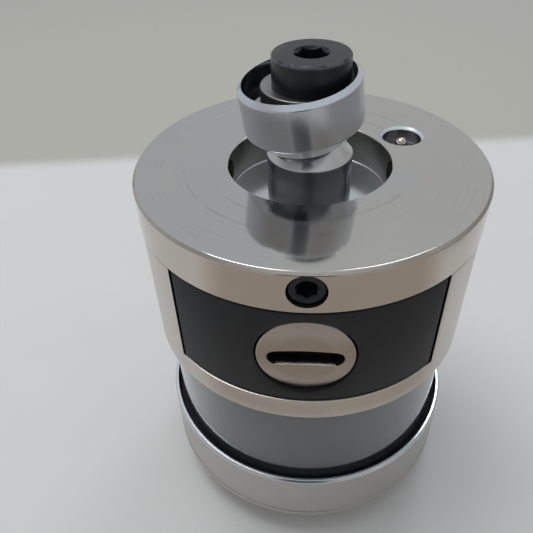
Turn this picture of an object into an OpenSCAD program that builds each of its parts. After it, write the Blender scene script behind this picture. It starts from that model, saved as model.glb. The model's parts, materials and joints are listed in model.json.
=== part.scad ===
// Touch probe for a machine tool spindle, standing on its front face with the shank end up.
// The probe's axis is Z, z = 0 is the front face, and the battery cover looks along -Y.

/* [Outer body] */
// Radius of the mounting flange and of the nose ring
rim_r = 31.5; // [29:0.25:34]
// How far the middle body's side lies inside the rim
body_step = 0.2; // [0:0.05:0.5]
// Wall of the middle body
body_wall = 2.5; // [2:0.1:3]
// Height of the front cover below the nose ring
cover_h = 7; // [6.5:0.25:9]
// Height of the nose ring
nose_h = 14; // [13.5:0.25:18]
// Height of the window that shows
window_h = 21.15; // [18:0.25:28]
// Height of the middle body
body_h = 25.85; // [25.5:0.25:30]
// Thickness of the gasket under the flange
gasket_h = 0.3; // [0.2:0.1:0.6]
// Height of the mounting flange
flange_h = 7.7; // [7.5:0.1:10]
// Bevel along the outer edges
edge_bevel = 0.5; // [0.2:0.1:0.8]

/* [Shank end] */
// Radius of the shank pocket
pocket_r = 14.6; // [13.5:0.1:15]
// Depth of the shank pocket
pocket_depth = 6.8; // [6.7:0.1:7]
// Radius of the clamp post
post_r = 7.6; // [7:0.1:8.5]
// Rise of the post's straight side above the flange face
post_rise = 1.7; // [1:0.1:2]
// Radius of the flat end of the post
post_end_r = 4.6; // [4.4:0.1:5]
// Radius of the retaining screw's thread
retain_r = 4; // [3.5:0.1:4.2]
// Radius of the retaining screw's head
head_r = 6.5; // [6:0.1:6.7]
// Height of the retaining screw's head
head_h = 5; // [4:0.25:8]
// Width across the flats of the retaining screw's socket
head_key = 5; // [4:0.5:6]
// Height of the head's underside above the flange face
head_rise = 14; // [13.9:0.1:16]
// Radius of the retaining washer
washer_r = 7.6; // [7.2:0.1:7.8]
// Thickness of the retaining washer
washer_h = 3.3; // [2.5:0.1:3.4]
// How far the loose washer lies off the axis
washer_shift = 0.8; // [0:0.1:0.8]

/* [Clamp collar] */
// Outer radius of the collar
collar_r = 10.33; // [10.2:0.01:11]
// Height of the collar
collar_h = 11.04; // [10.5:0.02:12]
// Radius of the collar's bore
collar_bore_r = 9.5; // [9.4:0.1:9.7]
// Radius of the hole in the collar's lower lip
collar_lip_r = 5.4; // [5.3:0.1:5.6]
// Height of the collar's lower lip
collar_lip_h = 1.6; // [1.2:0.1:1.7]
// Bevel round the top of the collar
collar_top_bevel = 0.78; // [0.4:0.02:0.8]
// Bevel round the bottom of the collar
collar_low_bevel = 3.1; // [2:0.1:3.2]
// Angle at which the loose collar leans
collar_lean = 7.9; // [0:0.1:7.9]
// Direction of the lean, counted from +X
collar_heading = 208; // [180:1:230]
// How far the loose collar lies towards the back
collar_shift = 0.6; // [0:0.1:0.6]

/* [Adjusting screws] */
// Thread radius of an adjusting screw
adjust_r = 2.95; // [2.5:0.05:2.95]
// Length of an adjusting screw
adjust_len = 14; // [10:0.5:15]
// Depth of the screws' axes below the flange face
adjust_drop = 3.6; // [3.5:0.05:3.7]
// Depth of the screws' outer ends inside the flange's side
adjust_sink = 0.6; // [0.3:0.1:1.5]
// Width across the flats of the adjusting screws' sockets
adjust_key = 3; // [2:0.5:3]

/* [Shank switch] */
// Radius of the switch hole in the flange face
switch_hole_r = 3.55; // [3.3:0.05:3.8]
// Distance of the switch hole from the probe's axis
switch_out = 19.7; // [19.5:0.1:21]
// Direction of the switch hole, counted from +X
switch_angle = 28; // [24:1:40]
// Depth of the switch sleeve below the flange face
switch_depth = 3; // [2.5:0.1:3.5]
// Radius of the switch plunger
plunger_r = 1.1; // [0.8:0.05:1.3]
// Depth of the plunger's tip below the flange face
plunger_sink = 0.5; // [0.3:0.1:1]

/* [Battery bay] */
// Width of the battery bay
bay_w = 45; // [44.6:0.1:46]
// Height of the steel band below the bay
band_h = 5.05; // [5:0.05:5.5]
// Thickness of the cover along its sides
cover_side = 3.3; // [3:0.1:4]
// Wall of the cover in front of a cell
cell_wall = 0.8; // [0.6:0.1:1.5]
// Thickness of the bay's walls
bay_wall = 1.5; // [1.2:0.1:1.5]
// Radius of a battery cell
cell_r = 7.25; // [6.5:0.05:7.3]
// Length of a battery cell with its nub
cell_len = 25; // [23:0.5:26]
// Distance of a cell's axis from the probe's axis
cell_x = 11.5; // [11.3:0.1:12]
// Radius of the cover's coin knob
knob_r = 8.05; // [7:0.05:9]
// Length of the coin slot
slot_len = 12.5; // [10:0.5:13]
// Width of the coin slot
slot_w = 2.9; // [2:0.1:3.5]
// Radius of the lock's stem
stem_r = 2.5; // [2:0.1:2.7]
// Radius of the lock's cross pin
pin_r = 1.2; // [0.8:0.1:1.3]
// Length of the lock's cross pin
pin_len = 10.4; // [9:0.2:12]

/* [Window and core] */
// Width of the shoulder above the window
shoulder_w = 1.8; // [1.6:0.1:2.4]
// Wall of the window
window_wall = 3; // [2:0.1:3.1]
// Width of the nose ring's bright upper edge
nose_lip = 0.9; // [0.6:0.1:1.2]
// Depth of the shadow gap round the window's foot
window_sink = 2.8; // [1.5:0.1:3.5]
// Gap between the window and the core tube
core_gap = 2.5; // [2.4:0.1:3]
// Wall of the core tube
core_wall = 2; // [1.5:0.1:2.2]
// Number of light sources round the core
led_count = 12; // [6:1:16]

/* [Trigger mechanism] */
// Radius of the opening in the front cover
mouth_r = 12; // [11:0.25:13]
// Height of the ball seats' plate above the nose ring's foot
seat_up = 7; // [6.5:0.25:8]
// Radius on which the three ball pairs lie
seat_circle_r = 12; // [11.5:0.1:13]
// Radius of a seat ball
ball_r = 1.6; // [1.4:0.05:1.8]
// Half the distance between the balls of a pair
ball_spread = 2.2; // [2.1:0.05:2.4]
// Radius of a carrier roller
roller_r = 1.5; // [1.2:0.05:1.7]
// Radius of the stylus stem
stylus_r = 3.5; // [3:0.1:4]
// Core radius of the stylus thread
thread_r = 1.65; // [1.2:0.05:1.8]
// Depth of the stylus thread
thread_depth = 8; // [6:0.5:10]

/* [Hidden] */
$fn = 96;
// Clearance between round pieces that are seated in each other
fit = 0.05;
// Clearance between pieces that move past each other
gap = 0.3;
// Clearance between flat faces that lie against each other
slip = 0.2;
// Overshoot of a cut past the face that it leaves
over = 1;

// Radii, from the rim inwards
body_r = rim_r - body_step;
tube_r = body_r - body_wall;
window_r = body_r - shoulder_w;
window_in_r = window_r - window_wall;
nose_in_r = rim_r - nose_lip;
core_r = window_in_r - core_gap;
core_in_r = core_r - core_wall;

// Heights of the stack, from the front face up
nose_z = cover_h;
nose_top = nose_z + nose_h;
shoulder_z = nose_top + window_h;
body_top = shoulder_z + body_h;
flange_z = body_top + gasket_h;
face_z = flange_z + flange_h;

// Window, its two seals and the deck above it
seal_h = 1;
window_tuck = 1.15;
window_low = nose_top - window_sink;
window_high = shoulder_z + window_tuck;
ledge_z = window_low - seal_h;
deck_low = window_high + seal_h;
skirt_r = window_r + gap;

// Battery bay
bay_low = shoulder_z + band_h;
lock_z = (bay_low + body_top) / 2;
rear_wall = 2;
boss_h = 2.6;
boss_r = pocket_r + 1.2;
switch_tail = 2;
switch_base_h = 1.2;
bay_rear_top = flange_z - max(boss_h, switch_tail + switch_base_h) - gap;
panel_r = body_r - slip;
panel_w = bay_w - 2 * gap;
panel_low = bay_low + slip;
panel_top = body_top - slip;
block_back = cover_side - sqrt(pow(panel_r, 2) - pow(panel_w / 2, 2));
contact_h = 1;
pad_h = 0.6;
nub_r = 2.75;
nub_h = 1;
cell_front = cell_wall + slip - sqrt(pow(panel_r, 2) - pow(cell_x + cell_r, 2));
cell_tip = cell_front + cell_len;
bay_back = cell_tip + slip + pad_h + contact_h;
wall_back = bay_back + rear_wall;
tray_back = cell_tip - nub_h;
tray_wall = 1.1;
tray_top = lock_z + cell_r / 2;
knob_face = -(panel_r + 0.15);
knob_back = knob_face + 4.05;
knob_seat = knob_back + slip;
pin_y = wall_back + gap + pin_r + 0.1;
stem_end = pin_y + pin_r + 0.5;
clip_y = tray_back + slip;
clip_h = 0.7;
groove_r = stem_r - 0.5;
ring_r = 5;
ring_wire = 0.7;
seal_w = 1.6;
seal_depth = 1.3;

// Screws that hold the flange and the core, with the flange's screws clear of the bay
tie_r = 1.5;
tie_head_r = 2.75;
tie_head_h = 2.5;
tie_column_r = 2.8;
tie_circle_r = tube_r - 1.7;
tie_places = [for (angle = [-20, 200, 49.5, 130.5]) tie_circle_r * [cos(angle), sin(angle)]];
wire_hole_r = 5;
core_screw_r = 1.25;
core_screw_out = core_in_r - 2.5;
core_head_r = 2.25;
core_head_h = 2.5;

// Shank end
pocket_z = face_z - pocket_depth;
post_top = face_z + post_rise;
post_end = post_top + post_r - post_end_r;
spigot_r = 5.5;
head_z = face_z + head_rise;
retain_tip = pocket_z - 1.2;
washer_bore_r = retain_r + washer_shift + 0.1;
washer_bevel = 0.6;
pivot_z = face_z - 1.4;
collar_up = 5.88;
adjust_z = face_z - adjust_drop;
adjust_hole_r = adjust_r + 0.1;
adjust_out = rim_r - adjust_sink;
adjust_names = ["right", "back", "left", "front"];
adjust_tip = 1.2;
adjust_tip_r = 1.8;

// Shank switch
switch_x = switch_out * cos(switch_angle);
switch_y = switch_out * sin(switch_angle);
sleeve_r = switch_hole_r - fit;
sleeve_top = face_z - switch_depth;
sleeve_low = flange_z - switch_tail;
chamber_r = 2.6;
chamber_top = sleeve_top - 1.5;
stop_r = chamber_r - gap;
stop_h = 1.2;
stop_top = chamber_top - slip;
plunger_top = face_z - plunger_sink;
switch_wire = 0.2;

// Core, from the deck down, and the pieces stacked inside it
core_low = nose_z + 2.5;
core_mouth_r = core_in_r - 1.5;
core_flange_h = 2;
core_flange_r = core_screw_out - core_head_r - 0.3;
inner_r = core_in_r - fit;
board_h = 1.6;
board_z = deck_low - core_flange_h - core_head_h - 0.5 - board_h;
clamp_ring_h = 1.8;
clamp_ring_z = board_z - 0.1 - clamp_ring_h;
bridge_h = 3;
bridge_z = clamp_ring_z - bridge_h;
led_board_r = core_r + 0.75;
led_r = 1.2;
led_z = (nose_top + shoulder_z) / 2;
receiver_h = 3;
receiver_d = 1.1;
chip_w = 8;
chip_d = 5;
chip_h = 1.2;
chip_out = 7;
can_r = 1.5;
can_h = 1.8;
can_out = 10;

// Trigger mechanism
seat_z = nose_z + seat_up;
seat_h = 3;
seat_top = seat_z + seat_h;
seat_hole_r = stylus_r + 5;
ball_sink = 0.7;
ball_z = seat_top - ball_sink + ball_r;
roller_lift = sqrt(pow(ball_r + roller_r + gap, 2) - pow(ball_spread, 2));
roller_z = ball_z + roller_lift;
roller_in = 6;
roller_out = seat_circle_r + 3;
hub_r = seat_circle_r - 2.5;
hub_low = roller_z - roller_r - 0.4;
hub_top = roller_z + roller_r + 0.4;
stylus_low = 0.5;
stylus_boss_r = stylus_r + 0.5;
stylus_boss_h = 4;
front_wall = 1.5;
nose_wall = 4.3;
cover_r = rim_r - nose_wall - slip;
cover_in_r = core_r + 0.5;
cover_top = nose_z + 4.8;
cover_bevel = 2;
eyelid_r = mouth_r + 5;
eyelid_h = 0.5;
eyelid_z = front_wall + 0.1;
eyelid_hole_r = stylus_boss_r + 0.6;
retainer_z = nose_z + 3;
retainer_h = 2.4;
retainer_wall = 4;
bead_z = retainer_z + retainer_h;
bead_h = seat_z - bead_z;
tip_r = 1.5;
tip_z = hub_top + slip;
plate_z = tip_z + tip_r;
plate_h = 1;
plate_r = 6.6;
adjuster_r = 7.5;
adjuster_h = 4;
adjuster_z = bridge_z - 0.5;
spring_mean_r = 5;
guide_r = 3;
guide_h = 2.5;
fold_wall = 0.6;
fold_depth = 0.5;
fold_start = 1.6;
fold_in = stylus_r + fold_start;

// Solid turned about Z from a profile of radius and height
module turned(profile) rotate_extrude() polygon(profile);

// Plain ring that stands on z
module ring(outer, inner, z, h) translate([0, 0, z]) difference() {
  cylinder(r = outer, h = h);
  translate([0, 0, -over]) cylinder(r = inner, h = h + 2 * over);
}

// Copies spaced evenly round the axis
module around(count, start = 0) for (i = [0 : count - 1]) rotate([0, 0, start + 360 * i / count]) children();

// Flat outline in X and Z, drawn out from one y to another
module upright(from, to) translate([0, to, 0]) rotate([90, 0, 0]) linear_extrude(to - from) children();

// Pieces turned about the lock's axis: their own z runs along +Y
module on_lock() translate([0, 0, lock_z]) rotate([-90, 0, 0]) children();

// Pieces whose own z points out along an angle from the axis
module radial(angle, z) rotate([0, 0, angle]) translate([0, 0, z]) rotate([0, 90, 0]) children();

// Hexagonal socket cut, open at z = 0 and going down
module key_socket(across, depth) translate([0, 0, -depth])
  cylinder(r = across / sqrt(3), h = depth + over, $fn = 6);

// Rectangle with round corners, centred
module round_rect(w, h, r) {
  square([w - 2 * r, h], center = true);
  square([w, h - 2 * r], center = true);
  for (x = [-1, 1], y = [-1, 1]) translate([x * (w / 2 - r), y * (h / 2 - r)]) circle(r = r);
}

// Stretched round outline, centred
module stadium(length, width) {
  square([length - width, width], center = true);
  for (x = [-1, 1]) translate([x * (length - width) / 2, 0]) circle(r = width / 2);
}

// Round wire wound from one radius and height to another
module coil(r_low, r_high, z_low, z_high, turns, wire, sides = 8, steps = 18) {
  rings = ceil(turns * steps);
  points = [for (i = [0 : rings], j = [0 : sides - 1])
    let (t = i / rings, turn = 360 * turns * t, side = 360 * j / sides)
    let (r = r_low + (r_high - r_low) * t + wire * cos(side))
    [r * cos(turn), r * sin(turn), z_low + (z_high - z_low) * t + wire * sin(side)]];
  walls = [for (i = [0 : rings - 1], j = [0 : sides - 1])
    let (k = (j + 1) % sides)
    [i * sides + j, (i + 1) * sides + j, (i + 1) * sides + k, i * sides + k]];
  first = [for (j = [0 : sides - 1]) j];
  last = [for (j = [sides - 1 : -1 : 0]) rings * sides + j];
  polyhedron(points, concat(walls, [first], [last]));
}

// Flange: the shank seats on its face, its pocket and its four adjusting screws
module mounting_flange() color("gainsboro") difference() {
  union() {
    turned([[0, flange_z], [rim_r - edge_bevel / 2, flange_z], [rim_r, flange_z + edge_bevel / 2],
      [rim_r, face_z - edge_bevel], [rim_r - edge_bevel, face_z], [0, face_z]]);
    translate([0, 0, flange_z - boss_h]) cylinder(r = boss_r, h = boss_h + over);
  }
  translate([0, 0, pocket_z]) cylinder(r = pocket_r, h = pocket_depth + over);
  translate([0, 0, flange_z - boss_h - over]) cylinder(r = spigot_r, h = flange_h + boss_h);
  for (i = [0 : 3]) radial(90 * i, adjust_z) translate([0, 0, pocket_r - over])
    cylinder(r = adjust_hole_r, h = rim_r - pocket_r + 2 * over);
  translate([switch_x, switch_y, flange_z - boss_h - over]) cylinder(r = switch_hole_r, h = flange_h + boss_h + 2 * over);
  translate([switch_x, switch_y, face_z - edge_bevel])
    cylinder(r1 = switch_hole_r, r2 = switch_hole_r + 2 * edge_bevel, h = 2 * edge_bevel);
  for (place = tie_places) translate([place.x, place.y, flange_z - over])
    cylinder(r = tie_r + fit, h = over + flange_h - 1.5);
}

// Gasket between the flange and the middle body
module flange_gasket() color("black") difference() {
  ring(body_r - gap, tube_r + slip, body_top, gasket_h);
  for (place = tie_places) translate([place.x, place.y, body_top - over]) cylinder(r = tie_r + fit, h = gasket_h + 2 * over);
}

// Four cap screws that draw the flange down on the body
module flange_screws() color("dimgray") for (place = tie_places) translate([place.x, place.y, 0]) difference() {
  union() {
    translate([0, 0, bay_low - slip - tie_head_h]) cylinder(r = tie_head_r, h = tie_head_h);
    translate([0, 0, bay_low - slip - over]) cylinder(r = tie_r, h = face_z - 2 - bay_low + slip + over);
  }
  translate([0, 0, bay_low - slip - tie_head_h]) mirror([0, 0, 1]) key_socket(2.5, 1.3);
}

// Post that carries the retaining screw, with a spigot in the flange
module clamp_post() color("silver") difference() {
  union() {
    turned([[0, pocket_z], [post_r, pocket_z], [post_r, post_top], [post_end_r, post_end], [0, post_end]]);
    translate([0, 0, flange_z - boss_h]) cylinder(r = spigot_r - fit, h = pocket_z - flange_z + boss_h + over);
  }
  translate([0, 0, retain_tip - 0.8]) cylinder(r = retain_r + fit, h = head_z - retain_tip);
}

// Low-headed cap screw that keeps the collar on the post
module retaining_screw() color("dimgray") difference() {
  union() {
    turned([[0, head_z], [head_r, head_z], [head_r, head_z + head_h - edge_bevel / 2],
      [head_r - edge_bevel / 2, head_z + head_h], [0, head_z + head_h]]);
    translate([0, 0, retain_tip]) cylinder(r = retain_r, h = head_z - retain_tip + over);
  }
  translate([0, 0, head_z + head_h]) key_socket(head_key, 0.6 * head_h);
}

// Thick washer, loose under the screw's head
module retaining_washer() color("silver") translate([-washer_shift, 0, head_z - 0.1 - washer_h]) difference() {
  turned([[0, 0], [washer_r - washer_bevel, 0], [washer_r, washer_bevel], [washer_r, washer_h], [0, washer_h]]);
  translate([0, 0, -over]) cylinder(r = washer_bore_r, h = washer_h + 2 * over);
}

// Clamp collar: a cup with a lip, loose round the screw and leaning on the post's end
module clamp_collar() color("silver")
  translate([0, collar_shift, pivot_z])
  rotate(a = collar_lean, v = [-sin(collar_heading), cos(collar_heading), 0])
  translate([0, 0, collar_up])
  turned([[collar_lip_r, 0], [collar_r - collar_low_bevel, 0], [collar_r, collar_low_bevel],
    [collar_r, collar_h - collar_top_bevel],
    [max(collar_r - collar_top_bevel, collar_bore_r + 0.05), collar_h], [collar_bore_r, collar_h],
    [collar_bore_r, collar_lip_h + collar_bore_r - collar_lip_r], [collar_lip_r, collar_lip_h]]);

// Adjusting screw with a blunt tip towards the axis
module adjust_screw(angle) color("dimgray") radial(angle, adjust_z) difference() {
  turned([[0, adjust_out - adjust_len], [adjust_tip_r, adjust_out - adjust_len],
    [adjust_r, adjust_out - adjust_len + adjust_tip], [adjust_r, adjust_out - 0.3],
    [adjust_r - 0.3, adjust_out], [0, adjust_out]]);
  translate([0, 0, adjust_out]) key_socket(adjust_key, 3);
}

// Bush of the shank switch, pushed into the flange
module switch_sleeve() color("silver") translate([switch_x, switch_y, 0]) difference() {
  translate([0, 0, sleeve_low]) cylinder(r = sleeve_r, h = sleeve_top - sleeve_low);
  translate([0, 0, sleeve_low - over]) cylinder(r = plunger_r + fit, h = sleeve_top - sleeve_low + 2 * over);
  translate([0, 0, sleeve_low - over]) cylinder(r = chamber_r, h = chamber_top - sleeve_low + over);
}

// Plunger that the shank presses down, with a stop inside the sleeve
module switch_plunger() color("gainsboro") translate([switch_x, switch_y, 0]) {
  translate([0, 0, stop_top - stop_h]) cylinder(r = stop_r, h = stop_h);
  translate([0, 0, stop_top - over]) cylinder(r = plunger_r, h = plunger_top - plunger_r - stop_top + over);
  translate([0, 0, plunger_top - plunger_r]) sphere(r = plunger_r);
}

// Spring under the plunger's stop
module switch_spring() color("gainsboro") translate([switch_x, switch_y, 0])
  coil(stop_r - 0.5, stop_r - 0.5, sleeve_low + switch_wire + fit, stop_top - stop_h - switch_wire - fit, 4.5, switch_wire, 6, 14);

// Switch base that closes the sleeve from below
module switch_base() color("black") translate([switch_x, switch_y, sleeve_low - switch_base_h])
  cylinder(r = sleeve_r, h = switch_base_h);

// Keyhole that the lock's cross pin passes when the slot is level
module keyhole() {
  circle(r = stem_r + gap);
  square([pin_len + 4 * gap, 2 * (pin_r + gap)], center = true);
}

// Middle body: tube, deck, battery bay and columns for the flange screws
module body_shell() color("tan") difference() {
  union() {
    turned([[0, deck_low], [skirt_r, deck_low], [skirt_r, shoulder_z], [body_r - edge_bevel, shoulder_z],
      [body_r, shoulder_z + edge_bevel], [body_r, body_top - slip], [body_r - slip, body_top],
      [tube_r, body_top], [tube_r, bay_low], [0, bay_low]]);
    intersection() {
      translate([0, 0, bay_low - over]) cylinder(r = tube_r + over, h = body_top - bay_low + over);
      translate([-bay_w / 2 - bay_wall, -body_r, 0]) cube([bay_w + 2 * bay_wall, body_r + wall_back, body_top]);
    }
    for (place = tie_places) translate([place.x, place.y, bay_low - over])
      cylinder(r = tie_column_r, h = body_top - bay_low + over);
  }
  translate([-bay_w / 2, -body_r - over, bay_low]) cube([bay_w, body_r + over + bay_back, body_h]);
  translate([-bay_w / 2, bay_back - over, bay_rear_top]) cube([bay_w, rear_wall + 2 * over, body_h]);
  translate([0, 0, lock_z]) upright(bay_back - over, wall_back + over) keyhole();
  for (place = tie_places) translate([place.x, place.y, 0]) {
    translate([0, 0, deck_low - over]) cylinder(r = tie_r + 2 * fit, h = body_top - deck_low + 2 * over);
    translate([0, 0, deck_low - over]) cylinder(r = tie_head_r + 2 * fit, h = bay_low - slip - deck_low + over);
  }
  around(4, 45) translate([core_screw_out, 0, deck_low - over]) cylinder(r = core_screw_r + fit, h = bay_low - deck_low + 2 * over);
  translate([0, wall_back + 2 * wire_hole_r, deck_low - over])
    cylinder(r = wire_hole_r, h = bay_low - deck_low + 2 * over);
}

// Outline of the seal, level with the cassette's sides
module seal_outline(inset) translate([0, (panel_low + panel_top) / 2])
  round_rect(panel_w - 2 * inset, panel_top - panel_low - 2 * inset, 2);

// Cross-section of the tray: two open troughs for the cells and a rib for the stem
module tray_outline() difference() {
  intersection() {
    union() {
      for (x = [-cell_x, cell_x]) translate([x, lock_z]) circle(r = cell_r + slip + tray_wall);
      translate([-cell_x, lock_z - cell_r - slip - tray_wall]) square([2 * cell_x, cell_r + slip + tray_wall]);
      translate([-stem_r - 1.2, lock_z - over]) square([2 * stem_r + 2.4, stem_r + over + 1.2]);
    }
    translate([-panel_w / 2, panel_low]) square([panel_w, tray_top - panel_low]);
  }
  for (x = [-cell_x, cell_x]) translate([x, lock_z]) circle(r = cell_r + slip);
}

// Battery cassette: the curved cover and the tray behind it
module battery_cassette() color([0.12, 0.12, 0.13]) difference() {
  union() {
    intersection() {
      translate([0, 0, panel_low]) cylinder(r = panel_r, h = panel_top - panel_low);
      translate([-panel_w / 2, -panel_r - over, panel_low])
        cube([panel_w, panel_r + over + block_back, panel_top - panel_low]);
    }
    upright(block_back - over, tray_back) tray_outline();
  }
  translate([0, 0, flange_z - boss_h - gap]) cylinder(r = boss_r + gap, h = boss_h);
  for (x = [-cell_x, cell_x]) translate([x, 0, lock_z]) rotate([-90, 0, 0])
    translate([0, 0, cell_front - slip]) cylinder(r = cell_r + slip, h = block_back - cell_front + slip + over);
  on_lock() {
    translate([0, 0, -panel_r - over]) cylinder(r = knob_r + 0.25, h = knob_seat + panel_r + over);
    translate([0, 0, knob_seat - over]) cylinder(r = stem_r + 0.1, h = tray_back - knob_seat + 2 * over);
    difference() {
      translate([0, 0, knob_seat - over]) cylinder(r = ring_r + ring_wire + slip, h = over + seal_depth);
      translate([0, 0, knob_seat - 2 * over]) cylinder(r = ring_r - ring_wire - slip, h = 3 * over + seal_depth);
    }
  }
  upright(block_back - 1 - seal_w, block_back - 1) difference() {
    seal_outline(-over);
    seal_outline(seal_depth);
  }
}

// Seal in the groove round the cassette
module cassette_seal() color("black") upright(block_back - 1 - seal_w + fit, block_back - 1 - fit) difference() {
  seal_outline(-0.1);
  seal_outline(seal_depth - fit);
}

// Coin knob and stem of the cassette's lock
module cassette_lock() color("darkgray") on_lock() difference() {
  union() {
    intersection() {
      translate([0, 0, knob_face]) cylinder(r = knob_r, h = knob_back - knob_face);
      translate([0, 0, knob_face + panel_r]) sphere(r = panel_r);
    }
    translate([0, 0, knob_back - over]) cylinder(r = stem_r, h = stem_end - knob_back + over);
  }
  translate([0, 0, knob_face - over]) linear_extrude(over + 2.5) stadium(slot_len, slot_w);
  ring(stem_r + over, groove_r, clip_y - fit, clip_h + 2 * fit);
  translate([-stem_r - over, 0, pin_y]) rotate([0, 90, 0]) cylinder(r = pin_r + fit, h = 2 * (stem_r + over));
}

// Cross pin that locks behind the bay's rear wall after a quarter turn
module lock_pin() color("silver") translate([-pin_len / 2, pin_y, lock_z]) rotate([0, 90, 0]) cylinder(r = pin_r, h = pin_len);

// Sealing ring under the coin knob
module lock_ring() color("black") on_lock() translate([0, 0, knob_seat + ring_wire - 0.1])
  rotate_extrude() translate([ring_r, 0]) circle(r = ring_wire);

// Spring clip that keeps the stem in the cassette
module lock_clip() color("dimgray") on_lock() difference() {
  ring(stem_r + 1.6, groove_r + fit, clip_y, clip_h);
  translate([-groove_r * 0.7, 0, clip_y - over]) cube([groove_r * 1.4, stem_r + 2 + over, clip_h + 2 * over]);
}

// Battery cell that lies in one trough
module cell(x) color("steelblue") translate([x, 0, lock_z]) rotate([-90, 0, 0]) turned([[0, cell_front],
  [cell_r - 0.6, cell_front], [cell_r, cell_front + 0.6], [cell_r, tray_back - 0.6], [cell_r - 0.6, tray_back],
  [nub_r, tray_back], [nub_r, cell_tip], [0, cell_tip]]);

// Board on the bay's rear wall, with the keyhole through it
module contact_board() color("darkgreen") translate([0, 0, lock_z]) upright(bay_back - contact_h, bay_back) difference() {
  square([2 * (cell_x + cell_r) - 2, 2 * cell_r - 1], center = true);
  keyhole();
}

// Contact pads that meet the cells' nubs
module contact_pads() color("gold") for (x = [-cell_x, cell_x]) translate([x, bay_back - contact_h, lock_z])
  rotate([90, 0, 0]) cylinder(r = nub_r + 0.5, h = pad_h);

// Round window that the light passes through
module window_ring() color([0.45, 0.5, 0.55]) turned([[window_in_r, window_low], [window_r - slip, window_low],
  [window_r, window_low + slip], [window_r, window_high - slip], [window_r - slip, window_high],
  [window_in_r, window_high]]);

// Rubber rings above and below the window
module window_seal_upper() color("black") ring(window_r, window_in_r, window_high, seal_h);
module window_seal_lower() color("black") ring(nose_in_r - 0.1, window_in_r, ledge_z, seal_h);

// Flexible board wrapped round the core
module led_board() color("darkgreen") ring(led_board_r, core_r + fit, nose_top + 2, window_h - 4);

// Light sources that look out through the window
module light_sources() color("lavender") for (i = [0 : led_count - 1]) radial(360 * (i + 0.5) / led_count, led_z) {
  translate([0, 0, led_board_r]) cylinder(r = led_r, h = slip);
  intersection() {
    translate([0, 0, led_board_r + slip / 2]) sphere(r = led_r);
    translate([0, 0, led_board_r]) cylinder(r = led_r + over, h = 2 * led_r);
  }
}

// Receivers between the light sources
module receivers() color("black") around(4) rotate([0, 0, -5]) rotate_extrude(angle = 10)
  translate([led_board_r + fit, led_z + receiver_h]) square([receiver_d, receiver_h]);

// Core tube that ties the nose to the middle body
module core_tube() color("silver") difference() {
  turned([[core_mouth_r, core_low], [core_r, core_low], [core_r, deck_low], [core_flange_r, deck_low],
    [core_flange_r, deck_low - core_flange_h], [core_in_r, deck_low - core_flange_h],
    [core_in_r, seat_z], [core_mouth_r, seat_z]]);
  around(4, 45) translate([core_screw_out, 0, deck_low - core_flange_h - over])
    cylinder(r = core_screw_r + fit, h = core_flange_h + 2 * over);
}

// Four cap screws that hold the core to the deck
module core_screws() color("dimgray") around(4, 45) translate([core_screw_out, 0, deck_low - core_flange_h]) difference() {
  union() {
    translate([0, 0, -core_head_h]) cylinder(r = core_head_r, h = core_head_h);
    translate([0, 0, -over]) cylinder(r = core_screw_r, h = over + core_flange_h + bay_low - deck_low - slip);
  }
  translate([0, 0, -core_head_h]) mirror([0, 0, 1]) key_socket(2, 1.2);
}

// Round circuit board and the chips on it
module main_board() color("darkgreen") difference() {
  translate([0, 0, board_z]) cylinder(r = inner_r - slip, h = board_h);
  translate([0, 0, board_z - over]) cylinder(r = 3, h = board_h + 2 * over);
}
module board_chips() color([0.1, 0.1, 0.1]) translate([0, 0, board_z + board_h]) {
  around(3, 30) translate([chip_out, -chip_w / 2, 0]) cube([chip_d, chip_w, chip_h]);
  around(3, 90) translate([can_out, 0, 0]) cylinder(r = can_r, h = can_h);
}

// Nose ring: bright lip, shadow gap round the window's foot, seat on the core and thread for the cover
module nose_ring() color("gainsboro") turned([[core_r + fit, cover_top + slip], [cover_r + slip, cover_top + slip],
  [cover_r + slip, nose_z], [rim_r - edge_bevel, nose_z], [rim_r, nose_z + edge_bevel],
  [rim_r, nose_top - slip], [rim_r - slip, nose_top], [nose_in_r, nose_top], [nose_in_r, ledge_z],
  [core_r + fit, ledge_z]]);

// Front cover with spanner holes and a mouth for the stylus
module front_cover() color("gainsboro") difference() {
  turned([[mouth_r, 0], [cover_r - cover_bevel, 0], [cover_r, cover_bevel], [cover_r, cover_top],
    [cover_in_r, cover_top], [cover_in_r, front_wall], [mouth_r + front_wall, front_wall], [mouth_r, slip]]);
  around(4, 45) translate([(mouth_r + cover_r) / 2, 0, -over]) cylinder(r = 1.25, h = over + 1);
}

// Sliding shield that closes the mouth round the stylus
module eyelid() color("silver") ring(eyelid_r, eyelid_hole_r, eyelid_z, eyelid_h);

// Cone spring that presses the eyelid on the cover
module eyelid_spring() color("gainsboro")
  coil(eyelid_r - 2, seat_hole_r + 1.5, eyelid_z + eyelid_h + gap + 0.1, retainer_z - gap, 3, 0.25, 6, 24);

// Rubber diaphragm between the stem and the core, with one round fold
module diaphragm() color([0.2, 0.2, 0.22]) {
  fold_out = core_mouth_r - retainer_wall;
  fold_z = seat_z - bead_h / 2;
  steps = 12;
  lower = [for (i = [0 : steps]) [fold_in + (fold_out - fold_in) * i / steps,
    fold_z - fold_wall / 2 - fold_depth * sin(180 * i / steps)]];
  upper = [for (i = [steps : -1 : 0]) [lower[i].x, lower[i].y + fold_wall]];
  turned(concat([[stylus_r + fit, bead_z], [fold_in, bead_z]], lower,
    [[fold_out, bead_z], [core_mouth_r - fit, bead_z], [core_mouth_r - fit, seat_z], [fold_out, seat_z]],
    upper, [[fold_in, seat_z], [stylus_r + fit, seat_z]]));
}

// Threaded ring that clamps the diaphragm's bead
module diaphragm_retainer() color("silver") turned([[seat_hole_r, retainer_z], [core_mouth_r - fit, retainer_z],
  [core_mouth_r - fit, bead_z], [core_mouth_r - retainer_wall, bead_z], [core_mouth_r - retainer_wall, retainer_z + 1],
  [seat_hole_r, retainer_z + 1]]);

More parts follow.
